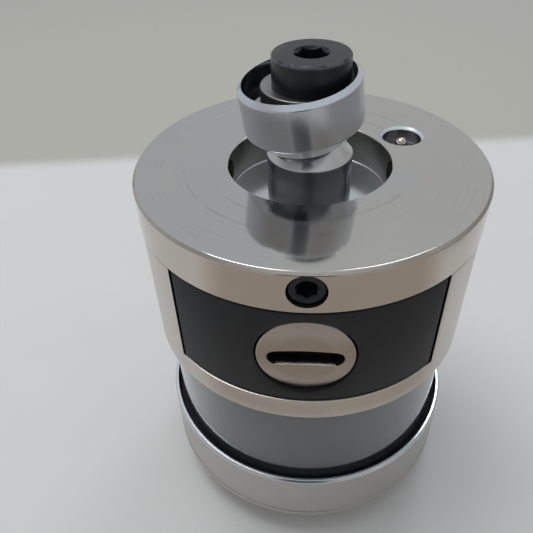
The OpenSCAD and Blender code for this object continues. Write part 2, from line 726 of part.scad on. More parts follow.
// Places of the six balls, in three pairs
module at_balls() around(3, 90) for (side = [-1, 1]) translate([seat_circle_r, side * ball_spread, 0]) children();

// Plate with pockets for the balls
module seat_plate() color("silver") difference() {
  ring(inner_r, seat_hole_r, seat_z, seat_h);
  at_balls() translate([0, 0, seat_top - ball_sink]) cylinder(r = ball_r + fit, h = ball_sink + over);
}
module seat_balls() color("gainsboro") at_balls() translate([0, 0, ball_z]) sphere(r = ball_r);

// Carrier that holds the stylus: hub with three roller holes, stem and threaded end
module stylus_carrier() color("silver") difference() {
  union() {
    translate([0, 0, hub_low]) cylinder(r = hub_r, h = hub_top - hub_low);
    translate([0, 0, stylus_low]) cylinder(r = stylus_r, h = hub_low - stylus_low + over);
    translate([0, 0, stylus_low]) cylinder(r = stylus_boss_r, h = stylus_boss_h);
  }
  translate([0, 0, stylus_low - over]) cylinder(r = thread_r, h = thread_depth + over);
  for (i = [0 : 2]) radial(90 + 120 * i, roller_z) translate([0, 0, roller_in]) cylinder(r = roller_r + fit, h = hub_r);
}

// Rollers that lie in the three ball pairs
module carrier_rollers() color("gainsboro") for (i = [0 : 2]) radial(90 + 120 * i, roller_z)
  translate([0, 0, roller_in]) cylinder(r = roller_r, h = roller_out - roller_in);

// Plunger that hands the spring's load to the carrier's middle
module spring_plunger() color("silver") {
  translate([0, 0, plate_z]) cylinder(r = plate_r, h = plate_h);
  translate([0, 0, plate_z]) cylinder(r = guide_r, h = plate_h + guide_h);
  translate([0, 0, tip_z + tip_r]) sphere(r = tip_r);
}

// Spring that seats the carrier on the balls
module trigger_spring() color("gainsboro")
  coil(spring_mean_r, spring_mean_r, plate_z + plate_h + 0.5, adjuster_z - 0.5, 5, 0.45);

// Threaded plug that sets the spring's load
module spring_adjuster() color("dimgray") difference() {
  translate([0, 0, adjuster_z]) cylinder(r = adjuster_r, h = adjuster_h);
  translate([0, 0, adjuster_z + adjuster_h]) key_socket(6, 2.5);
}

// Bridge across the core that carries the plug, with three ways for wires
module spring_bridge() color("silver") difference() {
  ring(inner_r, adjuster_r + fit, bridge_z, bridge_h);
  around(3, 30) translate([(inner_r + adjuster_r) / 2, 0, bridge_z - over]) cylinder(r = 3, h = bridge_h + 2 * over);
}

// Sleeve that keeps the bridge above the seat plate, and the threaded ring that clamps the stack
module spacer_tube() color("silver") ring(inner_r, core_mouth_r, seat_top, bridge_z - seat_top);
module bridge_clamp_ring() color("silver") difference() {
  ring(inner_r, core_flange_r, clamp_ring_z, clamp_ring_h);
  around(2) translate([core_flange_r - over, -1.5, clamp_ring_z + 0.8]) cube([core_wall + 4 + over, 3, clamp_ring_h]);
}

mounting_flange();
flange_gasket();
flange_screws();
clamp_post();
retaining_screw();
retaining_washer();
clamp_collar();
for (i = [0 : 3]) adjust_screw(90 * i);
switch_sleeve();
switch_plunger();
switch_spring();
switch_base();
body_shell();
battery_cassette();
cassette_seal();
cassette_lock();
lock_pin();
lock_ring();
lock_clip();
cell(-cell_x);  // cell_left
cell(cell_x);  // cell_right
contact_board();
contact_pads();
window_ring();
window_seal_upper();
window_seal_lower();
led_board();
light_sources();
receivers();
core_tube();
core_screws();
main_board();
board_chips();
nose_ring();
front_cover();
eyelid();
eyelid_spring();
diaphragm();
diaphragm_retainer();
seat_plate();
seat_balls();
stylus_carrier();
carrier_rollers();
spring_plunger();
trigger_spring();
spring_adjuster();
spring_bridge();
spacer_tube();
bridge_clamp_ring();
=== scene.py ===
import json
import math

import bmesh
import bpy
from mathutils import Matrix, Vector


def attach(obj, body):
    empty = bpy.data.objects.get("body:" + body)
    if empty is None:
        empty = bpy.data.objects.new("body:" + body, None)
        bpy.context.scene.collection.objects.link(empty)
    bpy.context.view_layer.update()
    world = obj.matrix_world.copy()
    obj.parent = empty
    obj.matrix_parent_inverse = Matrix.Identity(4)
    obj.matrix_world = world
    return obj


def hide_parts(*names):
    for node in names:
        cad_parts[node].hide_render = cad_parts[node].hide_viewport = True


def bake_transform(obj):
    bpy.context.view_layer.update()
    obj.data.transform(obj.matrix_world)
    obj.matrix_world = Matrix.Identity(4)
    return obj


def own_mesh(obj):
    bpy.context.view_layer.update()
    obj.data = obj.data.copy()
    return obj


# Touch probe, standing on its front face with the shank end up.
# Pieces are sized in millimetres until their mesh is made; camera, stage and lamps are in metres.
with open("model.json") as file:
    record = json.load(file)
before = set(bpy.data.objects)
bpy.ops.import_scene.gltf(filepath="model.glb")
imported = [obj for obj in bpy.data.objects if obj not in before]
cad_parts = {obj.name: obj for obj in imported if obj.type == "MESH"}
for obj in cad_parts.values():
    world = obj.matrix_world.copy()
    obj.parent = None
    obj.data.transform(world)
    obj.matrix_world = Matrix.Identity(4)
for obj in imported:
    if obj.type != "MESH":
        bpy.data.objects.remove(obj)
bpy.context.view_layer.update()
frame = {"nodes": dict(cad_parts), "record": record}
scene = bpy.context.scene
mm = 0.001
print("frame loaded:", len(frame["nodes"]), "nodes")

# camera at the photograph's place
view = {"place": (0.0, -0.089, 0.1257), "pitch": 40.02, "yaw": -5.48, "roll": -2.37,
        "focal": 556.7, "picture": 533, "sensor": 36, "clip": 0.005}


def setCamera(view):
    pitch, yaw, roll = (math.radians(view[key]) for key in ("pitch", "yaw", "roll"))
    ahead = Vector((math.sin(yaw) * math.cos(pitch), math.cos(yaw) * math.cos(pitch), -math.sin(pitch)))
    right = ahead.cross(Vector((0, 0, 1))).normalized()
    up = right.cross(ahead)
    across = right * math.cos(roll) + up * math.sin(roll)
    upward = up * math.cos(roll) - right * math.sin(roll)
    lens = bpy.data.cameras.new("camera")
    lens.sensor_width = view["sensor"]
    lens.lens = view["sensor"] * view["focal"] / view["picture"]
    lens.clip_start = view["clip"]
    eye = bpy.data.objects.new("camera", lens)
    turn = Matrix((across, upward, -ahead)).transposed().to_4x4()
    eye.matrix_world = Matrix.Translation(view["place"]) @ turn
    scene.collection.objects.link(eye)
    scene.camera = eye


setCamera(view)


class Tone:
    # one socket of a node tree; Python's operators add Math nodes
    def __init__(self, tree, socket=None):
        self.tree = tree
        self.socket = socket

    def node(self, kind, settings, sockets, out=0):
        made = self.tree.nodes.new(kind)
        for key, value in settings.items():
            setattr(made, key, value)
        for key, value in sockets.items():
            if isinstance(value, Tone):
                self.tree.links.new(value.socket, made.inputs[key])
            else:
                made.inputs[key].default_value = value
        return Tone(self.tree, made.outputs[out])

    def also(self, out):
        return Tone(self.tree, self.socket.node.outputs[out])

    def math(self, operation, first, second):
        return self.node("ShaderNodeMath", {"operation": operation}, {0: first, 1: second})

    def __add__(self, other):
        return self.math("ADD", self, other)

    def __radd__(self, other):
        return self.math("ADD", other, self)

    def __sub__(self, other):
        return self.math("SUBTRACT", self, other)

    def __rsub__(self, other):
        return self.math("SUBTRACT", other, self)

    def __mul__(self, other):
        return self.math("MULTIPLY", self, other)

    def __rmul__(self, other):
        return self.math("MULTIPLY", other, self)

    def __truediv__(self, other):
        return self.math("DIVIDE", self, other)

    def __pow__(self, other):
        return self.math("POWER", self, other)

    def __lt__(self, other):
        return self.math("LESS_THAN", self, other)

    def __gt__(self, other):
        return self.math("GREATER_THAN", self, other)


class Finish:
    # a material, its shader and the coordinates that its pattern reads
    def __init__(self, name, look):
        self.material = bpy.data.materials.new(name)
        self.material.use_nodes = True
        self.tree = self.material.node_tree
        self.shader = self.tree.nodes["Principled BSDF"]
        self.start = Tone(self.tree)
        spot = self.start.node("ShaderNodeTexCoord", {}, {}, "Object")
        self.spot = self.start.node("ShaderNodeMapping", {"vector_type": "TEXTURE"}, {
            "Vector": spot, "Location": Vector(look.get("centre", (0, 0, 0))) * mm,
            "Rotation": Vector(look.get("turn", (0, 0, 0)))})
        self.x = self.start.node("ShaderNodeSeparateXYZ", {}, {0: self.spot})
        self.y = self.x.also(1)
        self.z = self.x.also(2)
        self.radius = (self.x * self.x + self.y * self.y) ** 0.5

    def noise(self, grain, detail=2, vector=None):
        return self.start.node("ShaderNodeTexNoise", {}, {
            "Vector": vector or self.spot, "Scale": 1 / (grain * mm), "Detail": detail}, "Fac")

    def mix(self, share, first, second):
        ends = [value if isinstance(value, Tone) else (*value, 1) for value in (first, second)]
        return self.start.node("ShaderNodeMix", {"data_type": "RGBA"}, {0: share, 6: ends[0], 7: ends[1]}, 2)

    def ramp(self, value, low, high):
        return self.start.node("ShaderNodeMapRange", {"interpolation_type": "SMOOTHSTEP"}, {
            "Value": value, "From Min": low, "From Max": high})

    def bump(self, height, depth):
        return self.start.node("ShaderNodeBump", {}, {
            "Height": height, "Strength": 1, "Distance": depth * mm})

    def set(self, **sockets):
        for name, value in sockets.items():
            socket = self.shader.inputs[name.replace("_", " ")]
            if isinstance(value, Tone):
                self.tree.links.new(value.socket, socket)
            else:
                socket.default_value = value
        return self.material


def turnedMetal(name, look):
    # a lathe tool's marks: lines round the sides, and rings on flat faces unless across is 0
    finish = Finish(name, look)
    track = finish.start.node("ShaderNodeCombineXYZ", {}, {
        0: finish.radius * look["across"], 2: finish.z})
    marks = finish.noise(look["pitch"], 3, track)
    cloud = finish.noise(look["cloud"], 3)
    colour = finish.mix(cloud, look["dark"], look["light"])
    rough = look["rough"] + (marks - 0.5) * look["markRough"] + (cloud - 0.5) * look["cloudRough"]
    if "specks" in look:
        specks = look["specks"]
        spots = finish.start.node("ShaderNodeTexVoronoi", {}, {
            "Vector": finish.spot, "Scale": 1 / (specks["spread"] * mm)}, "Distance")
        pick = finish.start.node("ShaderNodeSeparateColor", {}, {0: spots.also("Color")})
        speck = (spots < specks["size"] / specks["spread"]) * (pick > 1 - specks["share"])
        colour = finish.mix(speck, colour, specks["stain"])
        rough = rough + speck * specks["rough"]
    if "shade" in look:
        colour, rough = look["shade"](finish, colour, rough)
    return finish.set(Base_Color=colour, Roughness=rough, Metallic=1.0,
                      Normal=finish.bump(marks, look["depth"]))


def grainedSolid(name, look):
    # plastics, rubber and black oxide: two tones, a fine grain and a satin gloss
    finish = Finish(name, look)
    cloud = finish.noise(look["cloud"], 3)
    grain = finish.noise(look["grain"], 2)
    colour = finish.mix(cloud, look["dark"], look["light"])
    rough = look["rough"] + (grain - 0.5) * look["grainRough"] + (cloud - 0.5) * look["cloudRough"]
    if "shade" in look:
        colour, rough = look["shade"](finish, colour, rough)
    return finish.set(Base_Color=colour, Roughness=rough, Metallic=look["metal"],
                      Specular_IOR_Level=look["gloss"], Normal=finish.bump(grain, look["depth"]))


def circuitBoard(name, look):
    # solder mask with raised tracks under it
    finish = Finish(name, look)
    bars = finish.start.node("ShaderNodeTexBrick", {}, {
        "Vector": finish.spot, "Scale": 1 / (look["track"] * mm), "Mortar Size": look["width"]}, "Fac")
    cloud = finish.noise(look["cloud"], 2)
    colour = finish.mix(bars, finish.mix(cloud, look["dark"], look["light"]), look["line"])
    return finish.set(Base_Color=colour, Roughness=look["rough"] + bars * look["lineRough"],
                      Normal=finish.bump(bars, look["depth"]))


def smokedGlass(name, look):
    # tinted glass, greyer towards its foot as painted shade, with a faint bloom and a dark line painted as
    # the reflection of the gap below it
    finish = Finish(name, look)
    # painted shade: darker towards the foot
    rise = finish.ramp(finish.z, look["low"] * mm, look["high"] * mm)
    bloom = finish.noise(look["bloom"], 3)
    colour = finish.mix(rise, look["dark"], look["light"])
    # painted reflection: a dark line where the gap below is mirrored
    if "seal" in look:
        low, high, soft = (look["seal"][key] for key in ("low", "high", "soft"))
        line = finish.ramp(finish.z, (low - soft) * mm, low * mm)
        line = line * finish.ramp(finish.z, (high + soft) * mm, high * mm)
        colour = finish.mix(line, colour, look["seal"]["tone"])
    return finish.set(Base_Color=colour, Roughness=look["rough"] + bloom * look["bloomRough"],
                      Transmission_Weight=look["clear"], IOR=look["index"], Coat_Weight=look["coat"],
                      Coat_Roughness=look["coatRough"])


def cellWrap(name, look):
    # plain sleeve with a darker end
    finish = Finish(name, look)
    band = finish.ramp(finish.y, look["bandFrom"] * mm, (look["bandFrom"] + look["bandSoft"]) * mm)
    cloud = finish.noise(look["cloud"], 2)
    colour = finish.mix(band, finish.mix(cloud, look["dark"], look["light"]), look["band"])
    return finish.set(Base_Color=colour, Roughness=look["rough"] + cloud * look["cloudRough"],
                      Coat_Weight=look["coat"])


lockAxis = {"height": 57.6, "turn": (-math.pi / 2, 0, 0)}
collarSeat = {"place": (0, 0.6, 74.6), "lean": 7.9, "heading": 208, "up": 5.88}
heading = math.radians(collarSeat["heading"])
leanAxis = Vector((-math.sin(heading), math.cos(heading), 0))
collarTurn = Matrix.Rotation(math.radians(collarSeat["lean"]), 4, leanAxis)


def between(value, low, high):
    return (value > low * mm) * (value < high * mm)


# the lip tone is a painted highlight; the other tone darkens the slot below its mouth
slotLook = {"deepFrom": -30.3, "deepFull": -30.15, "deepReach": 6.5, "back": -28, "ragged": 0.5,
            "deepTone": (0.03, 0.03, 0.03), "deepRough": 0.4, "lipFace": -30.73, "lipFrom": 1.4, "lipTo": 1.7,
            "lipReach": 5.7, "lip": (0.9, 0.9, 0.88), "lipRough": 0.1}


def slotDarkAndLipHighlight(finish, colour, rough):
    # the coin slot darker below its mouth, with a ragged edge, and a painted highlight on the slot's lip
    toneTable = slotLook
    ragged = finish.z + (finish.noise(toneTable["ragged"], 2) - 0.5) * (toneTable["ragged"] * mm)
    deep = finish.ramp(ragged, toneTable["deepFrom"] * mm, toneTable["deepFull"] * mm)
    deep = deep * (finish.radius < toneTable["deepReach"] * mm) * (finish.z < toneTable["back"] * mm)
    # painted highlight: the slot's lip made near white
    lip = (finish.z > toneTable["lipFace"] * mm) * (finish.radius < toneTable["lipReach"] * mm)
    lip = lip * between(finish.y, toneTable["lipFrom"], toneTable["lipTo"])
    colour = finish.mix(lip, colour, toneTable["lip"])
    rough = rough + deep * toneTable["deepRough"] - lip * toneTable["lipRough"]
    return finish.mix(deep, colour, toneTable["deepTone"]), rough


headWearAndSheen = {"from": 90, "patchGrain": 4, "patchLean": 60, "patchFrom": 0.7, "patchFull": 1.0,
            "patchShare": 0.5, "patch": (0.10, 0.075, 0.06), "edgeGrain": 1.5, "edgeFrom": 6.15,
            "edgeFull": 6.5, "edgeLow": 94.5, "edgeShare": 0.7, "edge": (0.15, 0.165, 0.19),
            "edgeRough": 0.08}


def wornOxideAndSheen(finish, colour, rough):
    # on the low head: a brown patch to the left, and a paler bluish edge that is partly wear and partly
    # painted highlight
    toneTable = headWearAndSheen
    patch = finish.noise(toneTable["patchGrain"], 2) - finish.x * toneTable["patchLean"]
    patch = finish.ramp(patch, toneTable["patchFrom"], toneTable["patchFull"]) * (finish.z > toneTable["from"] * mm)
    # paler edge: partly real wear, partly painted highlight
    edge = finish.radius + (finish.noise(toneTable["edgeGrain"], 2) - 0.5) * mm
    edge = finish.ramp(edge, toneTable["edgeFrom"] * mm, toneTable["edgeFull"] * mm)
    edge = edge * (finish.z > toneTable["edgeLow"] * mm)
    colour = finish.mix(patch * toneTable["patchShare"], colour, toneTable["patch"])
    return finish.mix(edge * toneTable["edgeShare"], colour, toneTable["edge"]), rough - edge * toneTable["edgeRough"]


# cool and warm tint the face as painted reflection; bore and hole are painted shade; mouth is a painted
# highlight; floor is a painted reflection
flangeLook = {
    "face": 75.9, "boreReach": 31, "boreLow": 69.5, "boreTop": 75.46, "floorReach": 14.7, "floorLow": 69,
    "switchAt": (17.394, 9.249), "switchReach": 4.2, "switchTop": 75.95, "mouthLow": 75.45,
    "warmGrain": 18, "warmLean": 8, "warmFrom": 0.42, "warmFull": 0.62, "toneShare": 0.8, "arcShare": 0.4,
    "stretch": 0.07, "slant": 0.12, "cool": (0.625, 0.63, 0.625), "warm": (0.665, 0.645, 0.605),
    "arc": (0.40, 0.38, 0.34), "bore": (0.27, 0.265, 0.25), "hole": (0.52, 0.51, 0.54),
    "mouth": (0.86, 0.90, 0.97), "floor": (0.72, 0.75, 0.78),
    "arcMarks": {"pitch": 1.0, "detail": 4, "from": 0.54, "full": 0.64,
                 "patch": 10, "patchFrom": 0.46, "patchFull": 0.62},
    "scratchMarks": {"pitch": 0.5, "detail": 2, "from": 0.6, "full": 0.7,
                     "patch": 8, "patchFrom": 0.5, "patchFull": 0.62},
    "rough": {"bore": 0.2, "hole": -0.1, "mouth": 0.3, "floor": 0.06, "face": -0.025, "arc": 0.03,
              "scratch": 0.05},
}


def patchy(finish, track, marks):
    # marks along a track that show only in broad patches
    lines = finish.ramp(finish.noise(marks["pitch"], marks["detail"], track), marks["from"], marks["full"])
    return lines * finish.ramp(finish.noise(marks["patch"], 2), marks["patchFrom"], marks["patchFull"])


def flangeTones(finish, colour, rough):
    # polished face tinted cooler, and warmer towards the right, as painted reflection, with faint arcs and
    # scratches; duller bores and the switch hole darkened as painted shade, a painted highlight on the switch
    # mouth, and the pocket floor made pale as painted reflection
    look = flangeLook
    face = finish.z > look["face"] * mm
    # painted shade: the pocket wall and screw bores darkened
    bore = (finish.radius < look["boreReach"] * mm) * between(finish.z, look["boreLow"], look["boreTop"])
    # painted reflection: the pocket floor paler and bluer
    floor = (finish.radius < look["floorReach"] * mm) * between(finish.z, look["floorLow"], look["boreLow"])
    rings = finish.start.node("ShaderNodeCombineXYZ", {}, {0: finish.radius})
    arc = patchy(finish, rings, look["arcMarks"]) * face
    drawn = finish.start.node("ShaderNodeCombineXYZ", {}, {
        0: finish.x * look["stretch"], 1: finish.y - finish.x * look["slant"]})
    scratch = patchy(finish, drawn, look["scratchMarks"]) * face
    x, y = look["switchAt"]
    aside = (finish.x - x * mm) ** 2 + (finish.y - y * mm) ** 2
    # painted shade: the switch hole's wall darker than the face
    hole = (aside < (look["switchReach"] * mm) ** 2) * (finish.z < look["switchTop"] * mm)
    # painted highlight: the switch hole's mouth bluish white
    mouth = hole * (finish.z > look["mouthLow"] * mm)
    # painted reflection: the face cooler, and warmer towards the right
    warmth = finish.noise(look["warmGrain"], 2) + finish.x * look["warmLean"]
    tone = finish.mix(finish.ramp(warmth, look["warmFrom"], look["warmFull"]), look["cool"], look["warm"])
    colour = finish.mix(face * look["toneShare"], colour, tone)
    colour = finish.mix(arc * look["arcShare"], colour, look["arc"])
    masks = {"bore": bore, "hole": hole, "mouth": mouth, "floor": floor}
    for key, mask in masks.items():
        colour = finish.mix(mask, colour, look[key])
    masks.update({"face": face, "arc": arc, "scratch": scratch})
    for key, mask in masks.items():
        rough = rough + mask * look["rough"][key]
    return colour, rough


# cone tone: painted light, set for how the cone is lit
coneLook = {"from": 77.6, "tone": (0.62, 0.605, 0.595), "smooth": 0.1}
# painted highlight on the collar's bevels
bevelHighlight = {"top": 16.1, "low": 8.9, "tone": (0.72, 0.76, 0.82), "smooth": 0.04}
# painted highlight on the nose ring's lip
lipHighlight = {"from": 20.4, "full": 20.6, "tone": (0.82, 0.86, 0.89), "smooth": 0.1}


def postTones(finish, colour, rough):
    # the cone is smoother and darker than the cylinder below it, a tone of its own painted in for how it is
    # lit
    cone = finish.z > coneLook["from"] * mm
    return finish.mix(cone, colour, coneLook["tone"]), rough - cone * coneLook["smooth"]


def collarTones(finish, colour, rough):
    # smoother bevels above and below the brushed side, made cooler and paler as painted highlight
    highlitBevels = (finish.z > bevelHighlight["top"] * mm) + (finish.z < bevelHighlight["low"] * mm)
    return finish.mix(highlitBevels, colour, bevelHighlight["tone"]), rough - highlitBevels * bevelHighlight["smooth"]


def noseTones(finish, colour, rough):
    # cooler bright lip round the window, a painted highlight
    lip = finish.ramp(finish.z, lipHighlight["from"] * mm, lipHighlight["full"] * mm)
    return finish.mix(lip, colour, lipHighlight["tone"]), rough - lip * lipHighlight["smooth"]


nickel = {"dark": (0.55, 0.50, 0.445), "light": (0.61, 0.56, 0.505), "pitch": 0.5, "across": 1, "cloud": 14,
          "depth": 0.0012, "rough": 0.11, "markRough": 0.06, "cloudRough": 0.05}
metals = {
    "flange_steel": {"name": "flangeNickel", "shade": flangeTones, "cloudRough": 0.08,
                     "specks": {"spread": 5, "size": 0.2, "share": 0.14, "rough": 0.4,
                                "stain": (0.13, 0.075, 0.045)}},
    "body_steel": {"name": "bodyNickel", "dark": (0.57, 0.53, 0.48), "light": (0.63, 0.59, 0.54),
                   "rough": 0.27, "pitch": 0.6, "across": 0, "depth": 0.0005, "markRough": 0.04},
    "nose_steel": {"name": "noseSatin", "dark": (0.48, 0.465, 0.445), "light": (0.56, 0.545, 0.525),
                   "rough": 0.34, "pitch": 0.35, "shade": noseTones},
    "knob_steel": {"name": "knobSatin", "dark": (0.39, 0.335, 0.285), "light": (0.47, 0.405, 0.345),
                   "rough": 0.3, "pitch": 0.3, "centre": (0, 0, lockAxis["height"]),
                   "turn": lockAxis["turn"], "shade": slotDarkAndLipHighlight},
    "collar_steel": {"name": "collarBrushed", "dark": (0.50, 0.505, 0.525), "light": (0.58, 0.585, 0.605),
                     "rough": 0.2, "pitch": 0.22, "depth": 0.0015, "markRough": 0.12,
                     "centre": collarSeat["place"], "turn": collarTurn.to_euler(), "shade": collarTones},
    "post_steel": {"name": "postPolished", "dark": (0.56, 0.57, 0.59), "light": (0.66, 0.67, 0.69),
                   "rough": 0.3, "shade": postTones},
    "turned_steel": {"name": "turnedSteel", "dark": (0.26, 0.255, 0.245), "light": (0.38, 0.375, 0.36),
                     "rough": 0.36, "pitch": 0.32, "depth": 0.014, "markRough": 0.25},
    "polished_steel": {"name": "polishedSteel", "rough": 0.1, "markRough": 0.04},
    "core_aluminium": {"name": "coreAluminium", "dark": (0.62, 0.63, 0.64), "light": (0.7, 0.71, 0.72),
                       "rough": 0.4, "pitch": 0.3},
    "contact_gold": {"name": "contactGold", "dark": (0.8, 0.55, 0.2), "light": (0.9, 0.65, 0.28),
                     "rough": 0.25},
}
moulded = {"grainRough": 0.2, "cloudRough": 0.1, "metal": 0.0, "gloss": 0.5}
solids = {
    "black_oxide": {"name": "blackOxide", "dark": (0.012, 0.014, 0.017), "light": (0.029, 0.032, 0.037),
                    "cloud": 4, "grain": 0.15, "rough": 0.34, "depth": 0.004, "metal": 0.5,
                    "shade": wornOxideAndSheen},
    "cover_plastic": {"name": "coverCharcoal", "dark": (0.016, 0.017, 0.019), "light": (0.024, 0.025, 0.028),
                      "cloud": 9, "grain": 0.3, "rough": 0.52, "grainRough": 0.25, "depth": 0.012,
                      "gloss": 0.25},
    "black_plastic": {"name": "blackPlastic", "dark": (0.012, 0.012, 0.013), "light": (0.022, 0.022, 0.024),
                      "cloud": 6, "grain": 0.2, "rough": 0.45, "depth": 0.006},
    "seal_rubber": {"name": "sealRubber", "dark": (0.008, 0.008, 0.009), "light": (0.018, 0.018, 0.019),
                    "cloud": 5, "grain": 0.25, "rough": 0.7, "depth": 0.01},
}
wraps = {
    "cell_wrap": {"name": "cellWrap", "dark": (0.06, 0.12, 0.22), "light": (0.08, 0.15, 0.26), "cloud": 6,
                  "bandFrom": -4, "bandSoft": 0.3, "band": (0.03, 0.03, 0.035), "rough": 0.3,
                  "cloudRough": 0.1, "coat": 0.2},
}
board = {"cloud": 6, "width": 0.03, "rough": 0.35, "lineRough": 0.1, "depth": 0.03}
boards = {
    "board_green": {"name": "boardGreen", "dark": (0.01, 0.06, 0.03), "light": (0.015, 0.09, 0.04),
                    "line": (0.03, 0.15, 0.07), "track": 2.5},
    "board_dark": {"name": "boardDark", "dark": (0.012, 0.014, 0.018), "light": (0.02, 0.024, 0.03),
                   "line": (0.05, 0.055, 0.06), "track": 2},
}
glass = {"bloomRough": 0.05, "index": 1.5, "coatRough": 0.03}
glasses = {
    "window_glass": {"name": "windowSmoked", "low": 19, "high": 30, "dark": (0.17, 0.215, 0.245),
                     "light": (0.255, 0.295, 0.325), "bloom": 8, "rough": 0.2, "clear": 0.8, "coat": 1.0,
                     # painted reflection of the gap at the window's foot
                     "seal": {"low": 22.2, "high": 22.5, "soft": 0.25, "tone": (0.08, 0.11, 0.125)}},
    "lens_clear": {"name": "lensClear", "low": 28, "high": 34, "dark": (0.7, 0.72, 0.78),
                   "light": (0.8, 0.82, 0.88), "bloom": 2, "rough": 0.05, "clear": 0.5, "coat": 0.3},
}
kinds = ((turnedMetal, nickel, metals), (grainedSolid, moulded, solids), (cellWrap, {}, wraps),
         (circuitBoard, board, boards), (smokedGlass, glass, glasses))
finishes = {slot: make(look["name"], {**shared, **look}) for make, shared, looks in kinds
            for slot, look in looks.items()}
slotOf = {part["node"]: part["material_slot"] for part in frame["record"]["subparts"]}
for nodeName, nodeObject in frame["nodes"].items():
    nodeObject.data.materials.clear()
    nodeObject.data.materials.append(finishes[slotOf[nodeName]])
print("finishes made:", len(finishes))


def softened(corners, steps=5, guard=1.4):
    # each corner is a radius, a height and, where it is rounded, how far the rounding reaches;
    # the guard points keep the flat beside a rounding flat
    path = []
    for i, corner in enumerate(corners):
        here = Vector(corner[:2])
        if len(corner) < 3:
            path.append(here)
            continue
        back = (Vector(corners[i - 1][:2]) - here).normalized() * corner[2]
        ahead = (Vector(corners[(i + 1) % len(corners)][:2]) - here).normalized() * corner[2]
        path.append(here + back * guard)
        for step in range(steps + 1):
            along = step / steps
            path.append(here + back * (1 - along) ** 2 + ahead * along ** 2)
        path.append(here + ahead * guard)
    return path


def turnedForm(corners, place=Matrix(), count=192):
    # closed form turned about its own z
    form = bmesh.new()
    rings = []
    for radius, height in softened(corners):
        angles = [0] if radius < 1e-6 else [2 * math.pi * i / count for i in range(count)]
        rings.append([form.verts.new((radius * math.cos(a), radius * math.sin(a), height)) for a in angles])
    for low, high in zip(rings, rings[1:] + rings[:1]):
        if len(low) == len(high) == 1:
            continue
        for i in range(count):
            j = (i + 1) % count
            ends = [low[i % len(low)], low[j % len(low)], high[j % len(high)], high[i % len(high)]]
            form.faces.new(list(dict.fromkeys(ends)))
    bmesh.ops.recalc_face_normals(form, faces=form.faces)
    bmesh.ops.transform(form, matrix=Matrix.Scale(mm, 4) @ place, verts=form.verts)
    return form


def prism(outline, low, high, place=Matrix()):
    # flat outline drawn out along its own z
    form = bmesh.new()
    base = form.faces.new([form.verts.new((x, y, low)) for x, y in outline])
    top = bmesh.ops.extrude_face_region(form, geom=[base])["geom"]
    raised = [part for part in top if isinstance(part, bmesh.types.BMVert)]
    bmesh.ops.translate(form, vec=(0, 0, high - low), verts=raised)
    bmesh.ops.recalc_face_normals(form, faces=form.faces)
    bmesh.ops.transform(form, matrix=Matrix.Scale(mm, 4) @ place, verts=form.verts)
    return form


def asMesh(form, name="form"):
    mesh = bpy.data.meshes.new(name)
    form.to_mesh(mesh)
    form.free()
    return mesh


def merged(forms):
    whole = bmesh.new()
    for form in forms:
        whole.from_mesh(asMesh(form))
    return whole


def cut(blank, tools, operation="DIFFERENCE"):
    # Boolean of one mesh with the tools' joined forms
    body = bpy.data.objects.new("blank", blank)
    tool = bpy.data.objects.new("tool", asMesh(merged(tools)))
    for each in (body, tool):
        scene.collection.objects.link(each)
    change = body.modifiers.new("cut", "BOOLEAN")
    change.operation = operation
    change.solver = "EXACT"
    change.object = tool
    mesh = bpy.data.meshes.new_from_object(body.evaluated_get(bpy.context.evaluated_depsgraph_get()))
    for each in (body, tool):
        bpy.data.objects.remove(each)
    return mesh


def easeEdges(mesh, chosen, width, segments=2, sharpFrom=0.5):
    # round the sharp edges whose two ends the test picks
    form = bmesh.new()
    form.from_mesh(mesh)
    sharp = [edge for edge in form.edges if edge.calc_face_angle(0) > sharpFrom
             and all(chosen(vert.co / mm) for vert in edge.verts)]
    bmesh.ops.bevel(form, geom=sharp, offset=width * mm, offset_type="OFFSET", segments=segments, profile=0.5,
                    affect="EDGES", clamp_overlap=False)
    form.to_mesh(mesh)
    form.free()
    return mesh


def settle(name, mesh, body, node, sharpAt=28):
    # smooth a finished mesh, give it its node's finish and body, and hide the CAD node it stands in for
    form = bmesh.new()
    form.from_mesh(mesh)
    for face in form.faces:
        face.smooth = True
    for edge in form.edges:
        edge.smooth = edge.calc_face_angle(0) < math.radians(sharpAt)
    form.to_mesh(mesh)
    form.free()
    mesh.materials.clear()
    mesh.materials.append(finishes[slotOf[node]])
    piece = bpy.data.objects.new(name, mesh)
    scene.collection.objects.link(piece)
    if body:
        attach(piece, body)
    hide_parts(node)
    return piece


def refined(node, weld=0.002, flat=0.4):
    # merged copy of a CAD node's mesh, with its flat faces whole again
    form = bmesh.new()
    form.from_mesh(frame["nodes"][node].data)
    bmesh.ops.remove_doubles(form, verts=form.verts, dist=weld * mm)
    bmesh.ops.dissolve_limit(form, angle_limit=math.radians(flat), verts=form.verts, edges=form.edges)
    return asMesh(form, node)


def near(value, target, room=0.03):
    return abs(value - target) < room


def outward(angle, height):
    # frame of a piece whose own z points out from the axis
    lifted = Matrix.Translation((0, 0, height))
    return Matrix.Rotation(angle, 4, "Z") @ lifted @ Matrix.Rotation(math.pi / 2, 4, "Y")


def hexagon(across):
    reach = across / math.sqrt(3)
    return [(reach * math.cos(math.pi * i / 3), reach * math.sin(math.pi * i / 3)) for i in range(6)]


